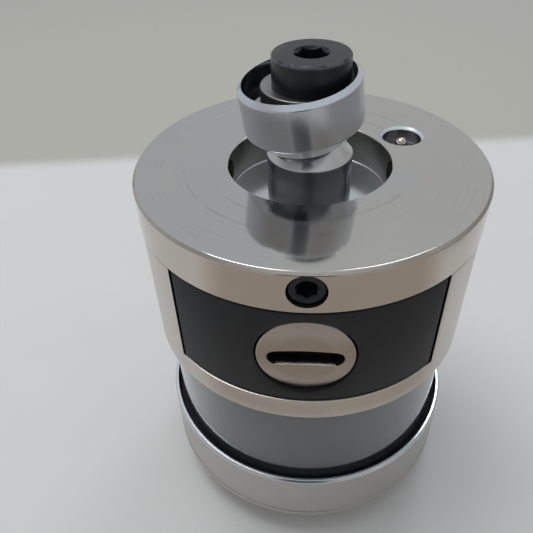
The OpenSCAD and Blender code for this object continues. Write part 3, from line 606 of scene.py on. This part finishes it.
past = 1  # how far a form that cuts or joins reaches past the surface
clearance = 0.05  # between turned pieces
adjust = {"radius": 2.95, "hole": 3.05, "height": 72.4, "outer": 30.9, "length": 14, "pitch": 1.0,
          "thread": 0.45, "key": 3, "keyDepth": 3, "tip": 1.8, "rows": 112}
switch = {"place": Vector((17.394, 9.249, 0)), "hole": 3.55, "mouth": 0.5, "mouthEdge": 0.1, "sleeve": 3.5,
          "sleeveLow": 66.3, "sleeveTop": 73.0, "chamber": 2.6, "chamberTop": 71.5, "pin": 1.1,
          "pinTop": 75.5, "stop": 2.3, "stopLow": 70.1, "stopTop": 71.3, "domeSteps": 10}
flange = {"rim": 31.5, "face": 76.0, "under": 68.3, "bevel": 0.5, "pocket": 14.6, "pocketBevel": 0.2,
          "pocketEdge": 0.06, "floor": 69.2, "floorRound": 0.3, "boss": 15.8, "bossLow": 65.7,
          "spigot": 5.5, "tie": 1.55, "tieTop": 74.5, "tieCircle": 27.1,
          "tieAngles": (-20, 200, 49.5, 130.5), "edge": 0.1, "screwMouth": 0.15}


def makeFlange():
    rim, face, under, floor = (flange[key] for key in ("rim", "face", "under", "floor"))
    pocket, inset, low, spigot = (flange[key] for key in ("pocket", "pocketBevel", "bossLow", "spigot"))
    edge, bevel, tie, tieTop = (flange[key] for key in ("edge", "bevel", "tie", "tieTop"))
    blank = turnedForm([
        (spigot, low, edge), (flange["boss"], low, edge), (flange["boss"], under),
        (rim - bevel / 2, under, edge / 2), (rim, under + bevel / 2, edge / 2), (rim, face - bevel, edge),
        (rim - bevel, face, edge), (pocket + inset, face, flange["pocketEdge"]),
        (pocket, face - inset, flange["pocketEdge"]), (pocket, floor, flange["floorRound"]),
        (spigot, floor, edge)], count=240)
    hole, mouth = adjust["hole"], rim - flange["screwMouth"]
    screwHole = [(0, pocket - past), (hole, pocket - past), (hole, mouth), (hole + past, mouth + past),
                 (0, mouth + past)]
    tools = [turnedForm(screwHole, outward(math.pi / 2 * i, adjust["height"]), 64) for i in range(4)]
    hole, mouth = switch["hole"], face - switch["mouth"]
    switchHole = [(0, low - past), (hole, low - past), (hole, mouth, switch["mouthEdge"]),
                  (hole + past, mouth + past), (0, mouth + past)]
    tools.append(turnedForm(switchHole, Matrix.Translation(switch["place"]), 96))
    tieHole = [(0, under - past), (tie, under - past), (tie, tieTop), (0, tieTop)]
    for angle in flange["tieAngles"]:
        place = Matrix.Rotation(math.radians(angle), 4, "Z") @ Matrix.Translation((flange["tieCircle"], 0, 0))
        tools.append(turnedForm(tieHole, place, 32))
    return settle("flangeBlock", cut(asMesh(blank), tools), "probe_body", "mounting_flange")


makeFlange()
print("flange made")

post = {"radius": 7.6, "shoulder": 77.7, "end": 4.6, "endHeight": 80.7, "bore": 4.05, "boreLow": 67.2}
foot = flange["spigot"] - clearance
settle("clampPost", asMesh(turnedForm([
    (0, flange["bossLow"]), (foot, flange["bossLow"], 0.1), (foot, flange["floor"]),
    (post["radius"], flange["floor"], 0.05), (post["radius"], post["shoulder"], 0.12),
    (post["end"], post["endHeight"], 0.2), (post["bore"], post["endHeight"], 0.1),
    (post["bore"], post["boreLow"]), (0, post["boreLow"])])), "probe_body", "clamp_post")

collar = {"radius": 10.33, "height": 11.04, "bore": 9.5, "lip": 5.4, "lipHeight": 1.6, "topBevel": 0.78,
          "topFall": 0.05, "lowBevel": 3.1}
lifted = Matrix.Translation((0, 0, collarSeat["up"]))
collarPlace = Matrix.Translation(collarSeat["place"]) @ collarTurn @ lifted
rim, bore, top = collar["radius"], collar["bore"], collar["height"]
settle("clampCollar", asMesh(turnedForm([
    (collar["lip"], 0, 0.15), (rim - collar["lowBevel"], 0, 0.2), (rim, collar["lowBevel"], 0.2),
    (rim, top - collar["topBevel"], 0.12), (rim - collar["topBevel"], top, 0.015),
    (bore, top - collar["topFall"], 0.015), (bore, collar["lipHeight"] + bore - collar["lip"], 0.2),
    (collar["lip"], collar["lipHeight"], 0.1)], collarPlace)), "collar", "clamp_collar")

washer = {"radius": 7.6, "bore": 4.9, "height": 3.3, "bevel": 0.6, "place": (-0.8, 0, 86.6)}
settle("looseWasher", asMesh(turnedForm([
    (washer["bore"], 0, 0.1), (washer["radius"] - washer["bevel"], 0, 0.1),
    (washer["radius"], washer["bevel"], 0.1), (washer["radius"], washer["height"], 0.25),
    (washer["bore"], washer["height"], 0.1)],
    Matrix.Translation(washer["place"]))), "probe_body", "retaining_washer")
print("post, collar and washer made")


def inputsOf(tree, names, kind="NodeSocketFloat"):
    for name in names:
        tree.interface.new_socket(name=name, in_out="INPUT", socket_type=kind)


def openTree(name, floats, vectors=()):
    tree = bpy.data.node_groups.new(name, "GeometryNodeTree")
    inputsOf(tree, floats)
    inputsOf(tree, vectors, "NodeSocketVector")
    inputsOf(tree, ["Material"], "NodeSocketMaterial")
    tree.interface.new_socket(name="Geometry", in_out="OUTPUT", socket_type="NodeSocketGeometry")
    start = Tone(tree)
    given = start.node("NodeGroupInput", {}, {})
    return tree, start, {name: given.also(name) for name in (*floats, *vectors, "Material")}


def closeTree(start, shape, given, place, turn):
    moved = start.node("GeometryNodeTransform", {}, {
        "Geometry": shape, "Translation": place, "Rotation": turn})
    real = start.node("GeometryNodeRealizeInstances", {}, {"Geometry": moved})
    dressed = start.node("GeometryNodeSetMaterial", {}, {"Geometry": real, "Material": given["Material"]})
    end = start.tree.nodes.new("NodeGroupOutput")
    start.tree.links.new(dressed.socket, end.inputs[0])


def grown(tree, sizes):
    # run a tree on an empty mesh and keep its result as a plain mesh
    holder = bpy.data.objects.new(tree.name, bpy.data.meshes.new(tree.name))
    scene.collection.objects.link(holder)
    grow = holder.modifiers.new("grow", "NODES")
    grow.node_group = tree
    for item in tree.interface.items_tree:
        if item.in_out == "INPUT":
            grow[item.identifier] = sizes[item.name]
    mesh = bpy.data.meshes.new_from_object(holder.evaluated_get(bpy.context.evaluated_depsgraph_get()))
    holder.modifiers.clear()
    bpy.data.objects.remove(holder)
    return mesh


# flank and crest shape the thread; the socket's mouth is given in shares of the key's width
thread = {"sides": 48, "flank": 1.4, "crest": 0.2, "lead": 0.3, "mouthTop": 0.72, "mouthLow": 0.45,
          "mouthDepth": 0.27, "mouthDrop": 0.16}


def threadTree():
    # threaded rod along z from z = 0, with bevelled ends and a hexagonal socket at its top
    floats = ("Radius", "Length", "Pitch", "Thread", "Tip", "Key", "KeyDepth", "Rows")
    tree, start, given = openTree("threadedRod", floats, ("Place", "Turn"))
    radius, length, pitch, width = (given[name] for name in ("Radius", "Length", "Pitch", "Key"))
    rod = start.node("GeometryNodeMeshCylinder", {"fill_type": "NGON"}, {
        "Vertices": thread["sides"], "Side Segments": given["Rows"], "Radius": radius, "Depth": length})
    x = start.node("ShaderNodeSeparateXYZ", {}, {0: start.node("GeometryNodeInputPosition", {}, {})})
    y, z = x.also(1), x.also(2)
    angle = start.math("ARCTAN2", y, x) / (2 * math.pi)
    phase = start.node("ShaderNodeMath", {"operation": "FRACT"}, {0: z / pitch - angle})
    slope = start.node("ShaderNodeMath", {"operation": "ABSOLUTE"}, {0: phase * 2 - 1})
    flank = slope * thread["flank"] - thread["crest"]
    depth = start.node("ShaderNodeClamp", {}, {"Value": flank}) * given["Thread"]
    upperLead = length / 2 - z + radius - thread["lead"] * mm
    lead = start.math("MINIMUM", z + length / 2 + given["Tip"], upperLead)
    reach = start.math("MINIMUM", radius - depth, lead)
    scale = reach / radius
    shaped = start.node("ShaderNodeCombineXYZ", {}, {0: x * scale, 1: y * scale, 2: z})
    rod = start.node("GeometryNodeSetPosition", {}, {"Geometry": rod, "Position": shaped})
    up = start.node("ShaderNodeCombineXYZ", {}, {2: length / 2})
    key = start.node("GeometryNodeMeshCylinder", {"fill_type": "NGON"}, {
        "Vertices": 6, "Radius": width / math.sqrt(3), "Depth": given["KeyDepth"] * 2})
    key = start.node("GeometryNodeTransform", {}, {"Geometry": key, "Translation": up})
    cone = start.node("GeometryNodeMeshCone", {"fill_type": "NGON"}, {
        "Vertices": thread["sides"], "Radius Top": width * thread["mouthTop"],
        "Radius Bottom": width * thread["mouthLow"], "Depth": width * thread["mouthDepth"]})
    down = start.node("ShaderNodeCombineXYZ", {}, {2: length / 2 - width * thread["mouthDrop"]})
    cone = start.node("GeometryNodeTransform", {}, {"Geometry": cone, "Translation": down})
    for tool in (key, cone):
        rod = start.node("GeometryNodeMeshBoolean", {"operation": "DIFFERENCE", "solver": "EXACT"},
                         {"Mesh 1": rod, "Mesh 2": tool})
    rod = start.node("GeometryNodeTransform", {}, {"Geometry": rod, "Translation": up})
    closeTree(start, rod, given, given["Place"], given["Turn"])
    return tree


rodTree = threadTree()


def threadedRod(rod, length, place, turn):
    sizes = {"Length": length * mm, "KeyDepth": rod["keyDepth"] * mm, "Rows": rod["rows"],
             "Place": Vector(place) * mm, "Turn": turn, "Material": finishes["black_oxide"]}
    for name in ("Radius", "Pitch", "Thread", "Tip", "Key"):
        sizes[name] = rod[name.lower()] * mm
    return grown(rodTree, sizes)


for quarter, side in enumerate(("right", "back", "left", "front")):
    angle = math.pi / 2 * quarter
    inner = adjust["outer"] - adjust["length"]
    place = (inner * math.cos(angle), inner * math.sin(angle), adjust["height"])
    mesh = threadedRod(adjust, adjust["length"], place, (0, math.pi / 2, angle))
    settle("adjustScrew" + side.title(), mesh, "screw_" + side, "adjust_screw_" + side)

# the shank's own small socket is hidden in the head
retain = {"head": 6.5, "headLow": 90, "headTop": 95, "key": 5, "keyDepth": 3, "tipHeight": 68, "edge": 0.12,
          "bevel": 0.25, "mouthLow": 0.6, "mouthIn": 0.45, "mouthHigh": 0.5, "mouthOut": 0.65,
          "shank": {"radius": 3.95, "pitch": 1.25, "thread": 0.6, "tip": 3, "key": 0.5, "keyDepth": 0.3,
                    "rows": 150}}


def makeRetainingScrew():
    reach, low, top = (retain[key] for key in ("head", "headLow", "headTop"))
    edge, bevel, tip = (retain[key] for key in ("edge", "bevel", "tipHeight"))
    shank = threadedRod(retain["shank"], low + past - tip, (0, 0, tip), (0, 0, 0))
    head = turnedForm([(0, low), (reach, low, edge), (reach, top - bevel, edge / 2),
                       (reach - bevel, top, edge / 2), (0, top)])
    corner = retain["key"] / math.sqrt(3)
    socket = prism(hexagon(retain["key"]), top - retain["keyDepth"], top + past)
    deep, high = top - retain["mouthLow"], top + retain["mouthHigh"]
    mouth = turnedForm([(0, deep), (corner - retain["mouthIn"], deep), (corner + retain["mouthOut"], high),
                        (0, high)], count=96)
    mesh = cut(cut(asMesh(head), [socket]), [mouth])
    whole = bmesh.new()
    whole.from_mesh(shank)
    mesh = cut(mesh, [whole], "UNION")
    return settle("retainingScrew", mesh, "probe_body", "retaining_screw")


makeRetainingScrew()

shift = Matrix.Translation(switch["place"])
guide = switch["pin"] + clearance
settle("switchSleeve", asMesh(turnedForm([
    (switch["chamber"], switch["sleeveLow"], 0.1), (switch["sleeve"], switch["sleeveLow"], 0.1),
    (switch["sleeve"], switch["sleeveTop"], 0.3), (guide, switch["sleeveTop"], 0.15),
    (guide, switch["chamberTop"]), (switch["chamber"], switch["chamberTop"])], shift, 96)),
    "probe_body", "switch_sleeve")
pin, steps = switch["pin"], switch["domeSteps"]
rises = [math.pi / 2 * i / steps for i in range(steps, 0, -1)]
dome = [(pin * math.sin(rise), switch["pinTop"] - pin * (1 - math.cos(rise))) for rise in rises]
settle("switchPin", asMesh(turnedForm([
    (0, switch["stopLow"]), (switch["stop"], switch["stopLow"], 0.1),
    (switch["stop"], switch["stopTop"], 0.1), (pin, switch["stopTop"]), *dome, (0, switch["pinTop"])],
    shift, 64)), "switch", "switch_plunger")
print("screws and switch made")

shell = {"radius": 31.3, "bayHalf": 22.5, "bayLow": 47.2, "edge": 0.16}


def onBay(p):
    level = near(p.z, shell["bayLow"])
    return near(p.xy.length, shell["radius"]) and (level or near(abs(p.x), shell["bayHalf"]))


settle("bodyShell", easeEdges(refined("body_shell"), onBay, shell["edge"]), "probe_body", "body_shell")

cassette = {"radius": 31.1, "half": 22.2, "low": 47.4, "top": 67.8, "hole": 8.3, "edge": 0.3}


def onCover(p):
    if not near(p.xy.length, cassette["radius"]):
        return False
    ring = near(Vector((p.x, p.z - lockAxis["height"])).length, cassette["hole"])
    level = near(p.z, cassette["low"]) or near(p.z, cassette["top"])
    return ring or level or near(abs(p.x), cassette["half"])


settle("batteryCassette", easeEdges(refined("battery_cassette"), onCover, cassette["edge"], 3), "cassette",
       "battery_cassette")

knob = {"radius": 8.05, "face": -31.25, "crown": 31.1, "crownRings": (6.0, 6.6, 7.2), "rimRound": 0.35,
        "disc": 5.3, "discStep": 0.1, "dish": 0.25, "dishDrop": 0.05, "dishSteps": 6, "back": -27.2,
        "stem": 2.5, "stemEnd": 8.288, "grooveLow": 0.338, "grooveHigh": 1.138, "groove": 2.0,
        "slotLength": 12.5, "slotWidth": 2.9, "slotDepth": 2.5, "endSteps": 16, "pin": 1.25, "pinAt": 6.588,
        "pinHalf": 4, "edge": 0.1, "easedTo": -29.9, "easedFrom": 0.1, "slack": 0.02, "lipDepth": 0.55,
        "lipDrop": 0.24, "lipReach": 1.2, "lipInset": 0.05}


def crownAt(radius):
    return knob["face"] + knob["crown"] - math.sqrt(knob["crown"] ** 2 - radius ** 2)


def onSlot(p):
    # upper edge of the slot's mouth
    rise = p.z - lockAxis["height"]
    high = knob["easedFrom"] < rise < knob["slotWidth"] / 2 + knob["slack"]
    return p.y < knob["easedTo"] and high and abs(p.x) < knob["slotLength"] / 2 + knob["slack"]


def makeKnob():
    place = Matrix.Translation((0, 0, lockAxis["height"])) @ Matrix.Rotation(-math.pi / 2, 4, "X")
    disc, rim, stem, groove = (knob[key] for key in ("disc", "radius", "stem", "groove"))
    crown = [(radius, crownAt(radius)) for radius in (disc + knob["discStep"], *knob["crownRings"])]
    shares = [i / knob["dishSteps"] for i in range(knob["dishSteps"] + 1)]
    floor = crownAt(disc) + knob["dishDrop"]
    dish = [(disc * share, floor + knob["dish"] * (1 - share ** 2)) for share in shares]
    blank = turnedForm([
        *dish, *crown, (rim, crownAt(rim), knob["rimRound"]), (rim, knob["back"], 0.2), (stem, knob["back"]),
        (stem, knob["grooveLow"]), (groove, knob["grooveLow"]), (groove, knob["grooveHigh"]),
        (stem, knob["grooveHigh"]), (stem, knob["stemEnd"], 0.3), (0, knob["stemEnd"])], place)
    half = (knob["slotLength"] - knob["slotWidth"]) / 2
    reach = knob["slotWidth"] / 2
    turns = [math.pi * i / knob["endSteps"] for i in range(knob["endSteps"] + 1)]
    outline = [(half + reach * math.sin(turn), -reach * math.cos(turn)) for turn in turns]
    outline += [(-half - reach * math.sin(turn), reach * math.cos(turn)) for turn in turns]
    slot = prism(outline, knob["face"] - past, knob["face"] + knob["slotDepth"], place)
    sideways = Matrix.Rotation(math.pi / 2, 4, "Y")
    pin, far = knob["pin"], knob["pinHalf"]
    cross = turnedForm([(0, -far), (pin, -far), (pin, far), (0, far)],
                       place @ Matrix.Translation((0, 0, knob["pinAt"])) @ sideways, 48)
    mesh = easeEdges(cut(asMesh(blank), [slot, cross]), onSlot, knob["edge"])
    # worn lip: a wedge off one long edge of the slot
    foot = -crownAt(disc) - knob["dish"] - knob["lipDepth"]
    end = foot + knob["lipReach"]
    spread = knob["lipReach"] * (knob["lipDrop"] / knob["lipDepth"])
    back = reach - knob["lipInset"]
    wedge = [(foot, back), (foot, reach), (end, reach + spread), (end, back)]
    mesh = cut(mesh, [prism(wedge, -half, half, place @ sideways)])
    return settle("coinKnob", mesh, "lock", "cassette_lock")


makeKnob()
print("body, cassette and knob made")

window = {"outer": 29.5, "inner": 26.5, "low": 18.2, "high": 43.3, "edge": 0.25}
settle("lightWindow", asMesh(turnedForm([
    (window["inner"], window["low"], window["edge"]), (window["outer"], window["low"], window["edge"]),
    (window["outer"], window["high"], window["edge"]), (window["inner"], window["high"], window["edge"])],
    count=240)), "probe_body", "window_ring")

nose = {"rim": 31.5, "low": 7, "top": 21, "lip": 30.6, "ledge": 17.2, "core": 24.05, "cover": 27.2,
        "coverTop": 12, "bevel": 0.5, "topBevel": 0.4, "bandTop": 15.7, "bandLow": 8.6, "bandDepth": 0.12,
        "bandSlope": 0.1, "bandSoft": 0.03}
rim, low, top, soft = (nose[key] for key in ("rim", "low", "top", "bandSoft"))
sunk = rim - nose["bandDepth"]
settle("noseRing", asMesh(turnedForm([
    (nose["core"], nose["coverTop"]), (nose["cover"], nose["coverTop"]), (nose["cover"], low),
    (rim - nose["bevel"], low, 0.1), (rim, low + nose["bevel"], 0.1), (rim, nose["bandLow"], soft),
    (sunk, nose["bandLow"] + nose["bandSlope"], soft), (sunk, nose["bandTop"] - nose["bandSlope"], soft),
    (rim, nose["bandTop"], soft), (rim, top - nose["topBevel"], 0.1), (rim - nose["topBevel"], top, 0.08),
    (nose["lip"], top, 0.12), (nose["lip"], nose["ledge"]), (nose["core"], nose["ledge"])], count=240)),
    "probe_body", "nose_ring")
print("window and nose made")


def springTree():
    # round wire wound about z, from one radius and height to another
    floats = ("LowRadius", "HighRadius", "Height", "Turns", "Wire")
    tree, start, given = openTree("woundSpring", floats, ("Place",))
    wind = start.node("GeometryNodeCurveSpiral", {}, {
        "Resolution": 40, "Rotations": given["Turns"], "Start Radius": given["LowRadius"],
        "End Radius": given["HighRadius"], "Height": given["Height"]})
    wire = start.node("GeometryNodeCurvePrimitiveCircle", {}, {"Resolution": 12, "Radius": given["Wire"]})
    coil = start.node("GeometryNodeCurveToMesh", {}, {
        "Curve": wind, "Profile Curve": wire, "Fill Caps": True})
    closeTree(start, coil, given, given["Place"], (0, 0, 0))
    return tree


coils = springTree()
springs = {
    "switch_spring": {"low": 1.8, "high": 1.8, "from": 66.55, "to": 69.85, "turns": 4.5, "wire": 0.2,
                      "place": switch["place"], "joint": "switch_press", "anchor": 66.35, "travel": 1.5},
    "trigger_spring": {"low": 5, "high": 5, "from": 25.66, "to": 31.8, "turns": 5, "wire": 0.45,
                       "place": Vector((0, 0, 0)), "joint": "plunger_slide", "anchor": 32.25, "travel": 1.5},
    "eyelid_spring": {"low": 15, "high": 10, "from": 2.5, "to": 9.7, "turns": 3, "wire": 0.25,
                      "place": Vector((0, 0, 0))},
}
for node, spring in springs.items():
    mesh = grown(coils, {
        "LowRadius": spring["low"] * mm, "HighRadius": spring["high"] * mm,
        "Height": (spring["to"] - spring["from"]) * mm, "Turns": spring["turns"], "Wire": spring["wire"] * mm,
        "Place": (spring["place"] + Vector((0, 0, spring["from"]))) * mm, "Material": finishes[slotOf[node]]})
    squeezed = "travel" in spring
    piece = settle(node.split("_")[0] + "Coil", mesh, "probe_body" if squeezed else None, node)
    if squeezed:
        height = spring["to"] - spring["from"] + 2 * spring["wire"]
        anchor = spring["place"] + Vector((0, 0, spring["anchor"]))
        anchor * mm
        1 - spring["travel"] / height
        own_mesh(piece)
    else:
        spring["from"] * mm
        spring["to"] * mm
        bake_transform(piece)
print("springs wound")

diaphragm = {"bore": 3.55, "foldIn": 5.1, "foldOut": 16.5, "outer": 20.45, "low": 12.4, "high": 14,
             "wall": 0.6, "dip": 0.5, "bendEnd": 8.1, "gores": 16, "steps": 24, "seam": 0.1}


def goreForm(turn):
    # one closed gore of the folded disc, centred on the given angle
    low, high, inner, outer = (diaphragm[key] for key in ("low", "high", "foldIn", "foldOut"))
    shares = [i / diaphragm["steps"] for i in range(diaphragm["steps"] + 1)]
    fold = [(inner + (outer - inner) * share, (low + high) / 2 - diaphragm["dip"] * math.sin(math.pi * share))
            for share in shares]
    half = diaphragm["wall"] / 2
    outline = [(diaphragm["bore"], low), (inner, low), *((r, z - half) for r, z in fold), (outer, low),
               (diaphragm["outer"], low), (diaphragm["outer"], high), (outer, high),
               *((r, z + half) for r, z in reversed(fold)), (inner, high), (diaphragm["bore"], high)]
    reach = math.pi / diaphragm["gores"] - math.radians(diaphragm["seam"])
    form = bmesh.new()
    rings = []
    for side in (-1, -0.5, 0, 0.5, 1):
        angle = turn + reach * side
        rings.append([form.verts.new((r * math.cos(angle), r * math.sin(angle), z)) for r, z in outline])
    for first, second in zip(rings, rings[1:]):
        for i in range(len(outline)):
            form.faces.new((first[i - 1], first[i], second[i], second[i - 1]))
    form.faces.new(rings[0])
    form.faces.new(rings[-1])
    bmesh.ops.recalc_face_normals(form, faces=form.faces)
    bmesh.ops.scale(form, vec=(mm, mm, mm), verts=form.verts)
    return form


for i in range(diaphragm["gores"]):
    turn = 2 * math.pi * i / diaphragm["gores"]
    piece = settle("diaphragmGore" + str(i + 1), asMesh(goreForm(turn)), None, "diaphragm")
    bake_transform(piece)
print("diaphragm made")

# pale floor, greyer far behind as painted shade of the wall; cards and an apron that only reflections see,
# painted shade ahead of and beside the probe; room light and two lamps
ground = {"pale": (0.80, 0.79, 0.775), "wallShade": (0.52, 0.505, 0.45), "edge": 0.1452, "slope": 0.118,
          "soft": 0.006, "size": 1.5, "cloud": 30, "cloudShade": 0.95, "rough": 0.6, "cloudRough": 0.1}
# painted shade: cards darker than the floor, seen only in reflections, ahead of and to the right of the probe
shadeCards = {
    "cardAhead": {"from": (-0.08, -0.2, 0.03), "along": (0.16, 0, 0), "up": (0, 0, 0.24),
                  "colour": (0.05, 0.065, 0.08)},
    "cardRight": {"from": (0.12, -0.12, 0.001), "along": (0, 0.26, 0), "up": (0, 0, 0.14),
                  "colour": (0.55, 0.55, 0.56)},
}
cardEdge = {"pale": (0.75, 0.75, 0.75), "side": 0.55, "top": 0.65}
# painted shadow on the floor in front, seen only in reflections
shadowApron = {"inner": 0.05, "full": 0.075, "outer": 0.13, "left": 70, "right": 90, "fade": 25, "height": 0.0005,
         "steps": 24, "colour": (0.55, 0.485, 0.435)}
matt = 0.9


def groundFinish():
    finish = Finish("groundFinish", {})
    cloud = finish.noise(ground["cloud"], 3)
    along = finish.y - finish.x * ground["slope"]
    # painted shade: greyer beyond the edge, where the shaded wall stands
    behind = finish.ramp(along, ground["edge"] - ground["soft"], ground["edge"] + ground["soft"])
    pale = finish.mix(cloud, [value * ground["cloudShade"] for value in ground["pale"]], ground["pale"])
    return finish.set(Base_Color=finish.mix(behind, pale, ground["wallShade"]),
                      Roughness=ground["rough"] + cloud * ground["cloudRough"])


def stagePlane(name, corners, material):
    mesh = bpy.data.meshes.new(name)
    mesh.from_pydata(corners, [], [range(len(corners))])
    mesh.materials.append(material)
    plane = bpy.data.objects.new(name, mesh)
    scene.collection.objects.link(plane)
    return plane


reach = ground["size"]
corners = [(-reach, -reach, 0), (reach, -reach, 0), (reach, reach, 0), (-reach, reach, 0)]
stagePlane("ground", corners, groundFinish())


def reflectedOnly(plane):
    plane.visible_camera = False
    plane.visible_shadow = False
    plane.visible_diffuse = False


def shadeCardFinish(name, corner, along, up, colour):
    # its own colour in the middle, and as pale as the room at its sides and top
    finish = Finish(name + "Finish", {})
    middle = corner + along / 2
    across = finish.y - middle.y if along.y else finish.x - middle.x
    aside = finish.start.math("ABSOLUTE", across * (2 / along.length), 0)
    share = finish.ramp(aside, 1.0, cardEdge["side"])
    share = share * finish.ramp(finish.z, corner.z + up.z, corner.z + up.z * cardEdge["top"])
    return finish.set(Base_Color=finish.mix(share, cardEdge["pale"], colour), Roughness=matt)


def shadowApronFinish():
    # painted shadow: warm and darker in front, as pale as the floor at both ends
    finish = Finish("shadowApronFinish", {})
    angle = finish.start.math("ARCTAN2", finish.x, 0 - finish.y) * (180 / math.pi)
    left, right, fade = shadowApron["left"], shadowApron["right"], shadowApron["fade"]
    share = finish.ramp(angle, -left, fade - left) * finish.ramp(angle, right, right - fade)
    share = share * finish.ramp(finish.radius, shadowApron["inner"], shadowApron["full"])
    return finish.set(Base_Color=finish.mix(share, ground["pale"], shadowApron["colour"]), Roughness=matt)


def arcAt(radius, turns):
    return [(radius * math.sin(turn), -radius * math.cos(turn), shadowApron["height"]) for turn in turns]


for name, card in shadeCards.items():
    corner, along, up = (Vector(card[key]) for key in ("from", "along", "up"))
    corners = [corner, corner + along, corner + along + up, corner + up]
    reflectedOnly(stagePlane(name, corners, shadeCardFinish(name, corner, along, up, card["colour"])))
span, steps = shadowApron["left"] + shadowApron["right"], shadowApron["steps"]
turns = [math.radians(span * i / steps - shadowApron["left"]) for i in range(steps + 1)]
edge = arcAt(shadowApron["outer"], turns) + arcAt(shadowApron["inner"], reversed(turns))
reflectedOnly(stagePlane("shadowApron", edge, shadowApronFinish()))

room = {"front": (0.33, 0.325, 0.32), "back": (0.49, 0.51, 0.53), "top": (0.525, 0.55, 0.575), "power": 1.0,
        "behindFrom": -0.5, "behindFull": 0.5, "aboveFrom": 0.55, "aboveFull": 0.8}


def setRoom():
    # dim in front, brighter behind and brightest overhead
    world = bpy.data.worlds.new("room")
    world.use_nodes = True
    start = Tone(world.node_tree)
    way = start.node("ShaderNodeTexCoord", {}, {}, "Generated")
    y = start.node("ShaderNodeSeparateXYZ", {}, {0: way}, 1)
    z = y.also(2)
    smooth = {"interpolation_type": "SMOOTHSTEP"}
    behind = start.node("ShaderNodeMapRange", smooth, {
        "Value": y, "From Min": room["behindFrom"], "From Max": room["behindFull"]})
    above = start.node("ShaderNodeMapRange", smooth, {
        "Value": z, "From Min": room["aboveFrom"], "From Max": room["aboveFull"]})
    level = start.node("ShaderNodeMix", {"data_type": "RGBA"}, {
        0: behind, 6: (*room["front"], 1), 7: (*room["back"], 1)}, 2)
    colour = start.node("ShaderNodeMix", {"data_type": "RGBA"}, {0: above, 6: level, 7: (*room["top"], 1)}, 2)
    glow = world.node_tree.nodes["Background"]
    world.node_tree.links.new(colour.socket, glow.inputs["Color"])
    glow.inputs["Strength"].default_value = room["power"]
    scene.world = world


setRoom()
lamps = {
    "left": {"place": (-0.25, 0.1, 0.85), "aim": (0, 0, 0.05), "size": (0.4, 0.35), "power": 2.0,
             "colour": (0.96, 0.98, 1.0)},
    "right": {"place": (0.2, 0.52, 0.76), "aim": (0, 0, 0.06), "size": (0.25, 0.12), "power": 0.75,
              "colour": (0.92, 0.96, 1.0)},
}
for name, lamp in lamps.items():
    light = bpy.data.lights.new(name, "AREA")
    light.shape = "RECTANGLE"
    light.size, light.size_y = lamp["size"]
    light.energy = lamp["power"]
    light.color = lamp["colour"]
    holder = bpy.data.objects.new(name, light)
    holder.location = lamp["place"]
    aim = Vector(lamp["aim"]) - Vector(lamp["place"])
    holder.rotation_euler = aim.to_track_quat("-Z", "Y").to_euler()
    scene.collection.objects.link(holder)
scene.view_settings.view_transform = "Standard"
print("stage and lights set")
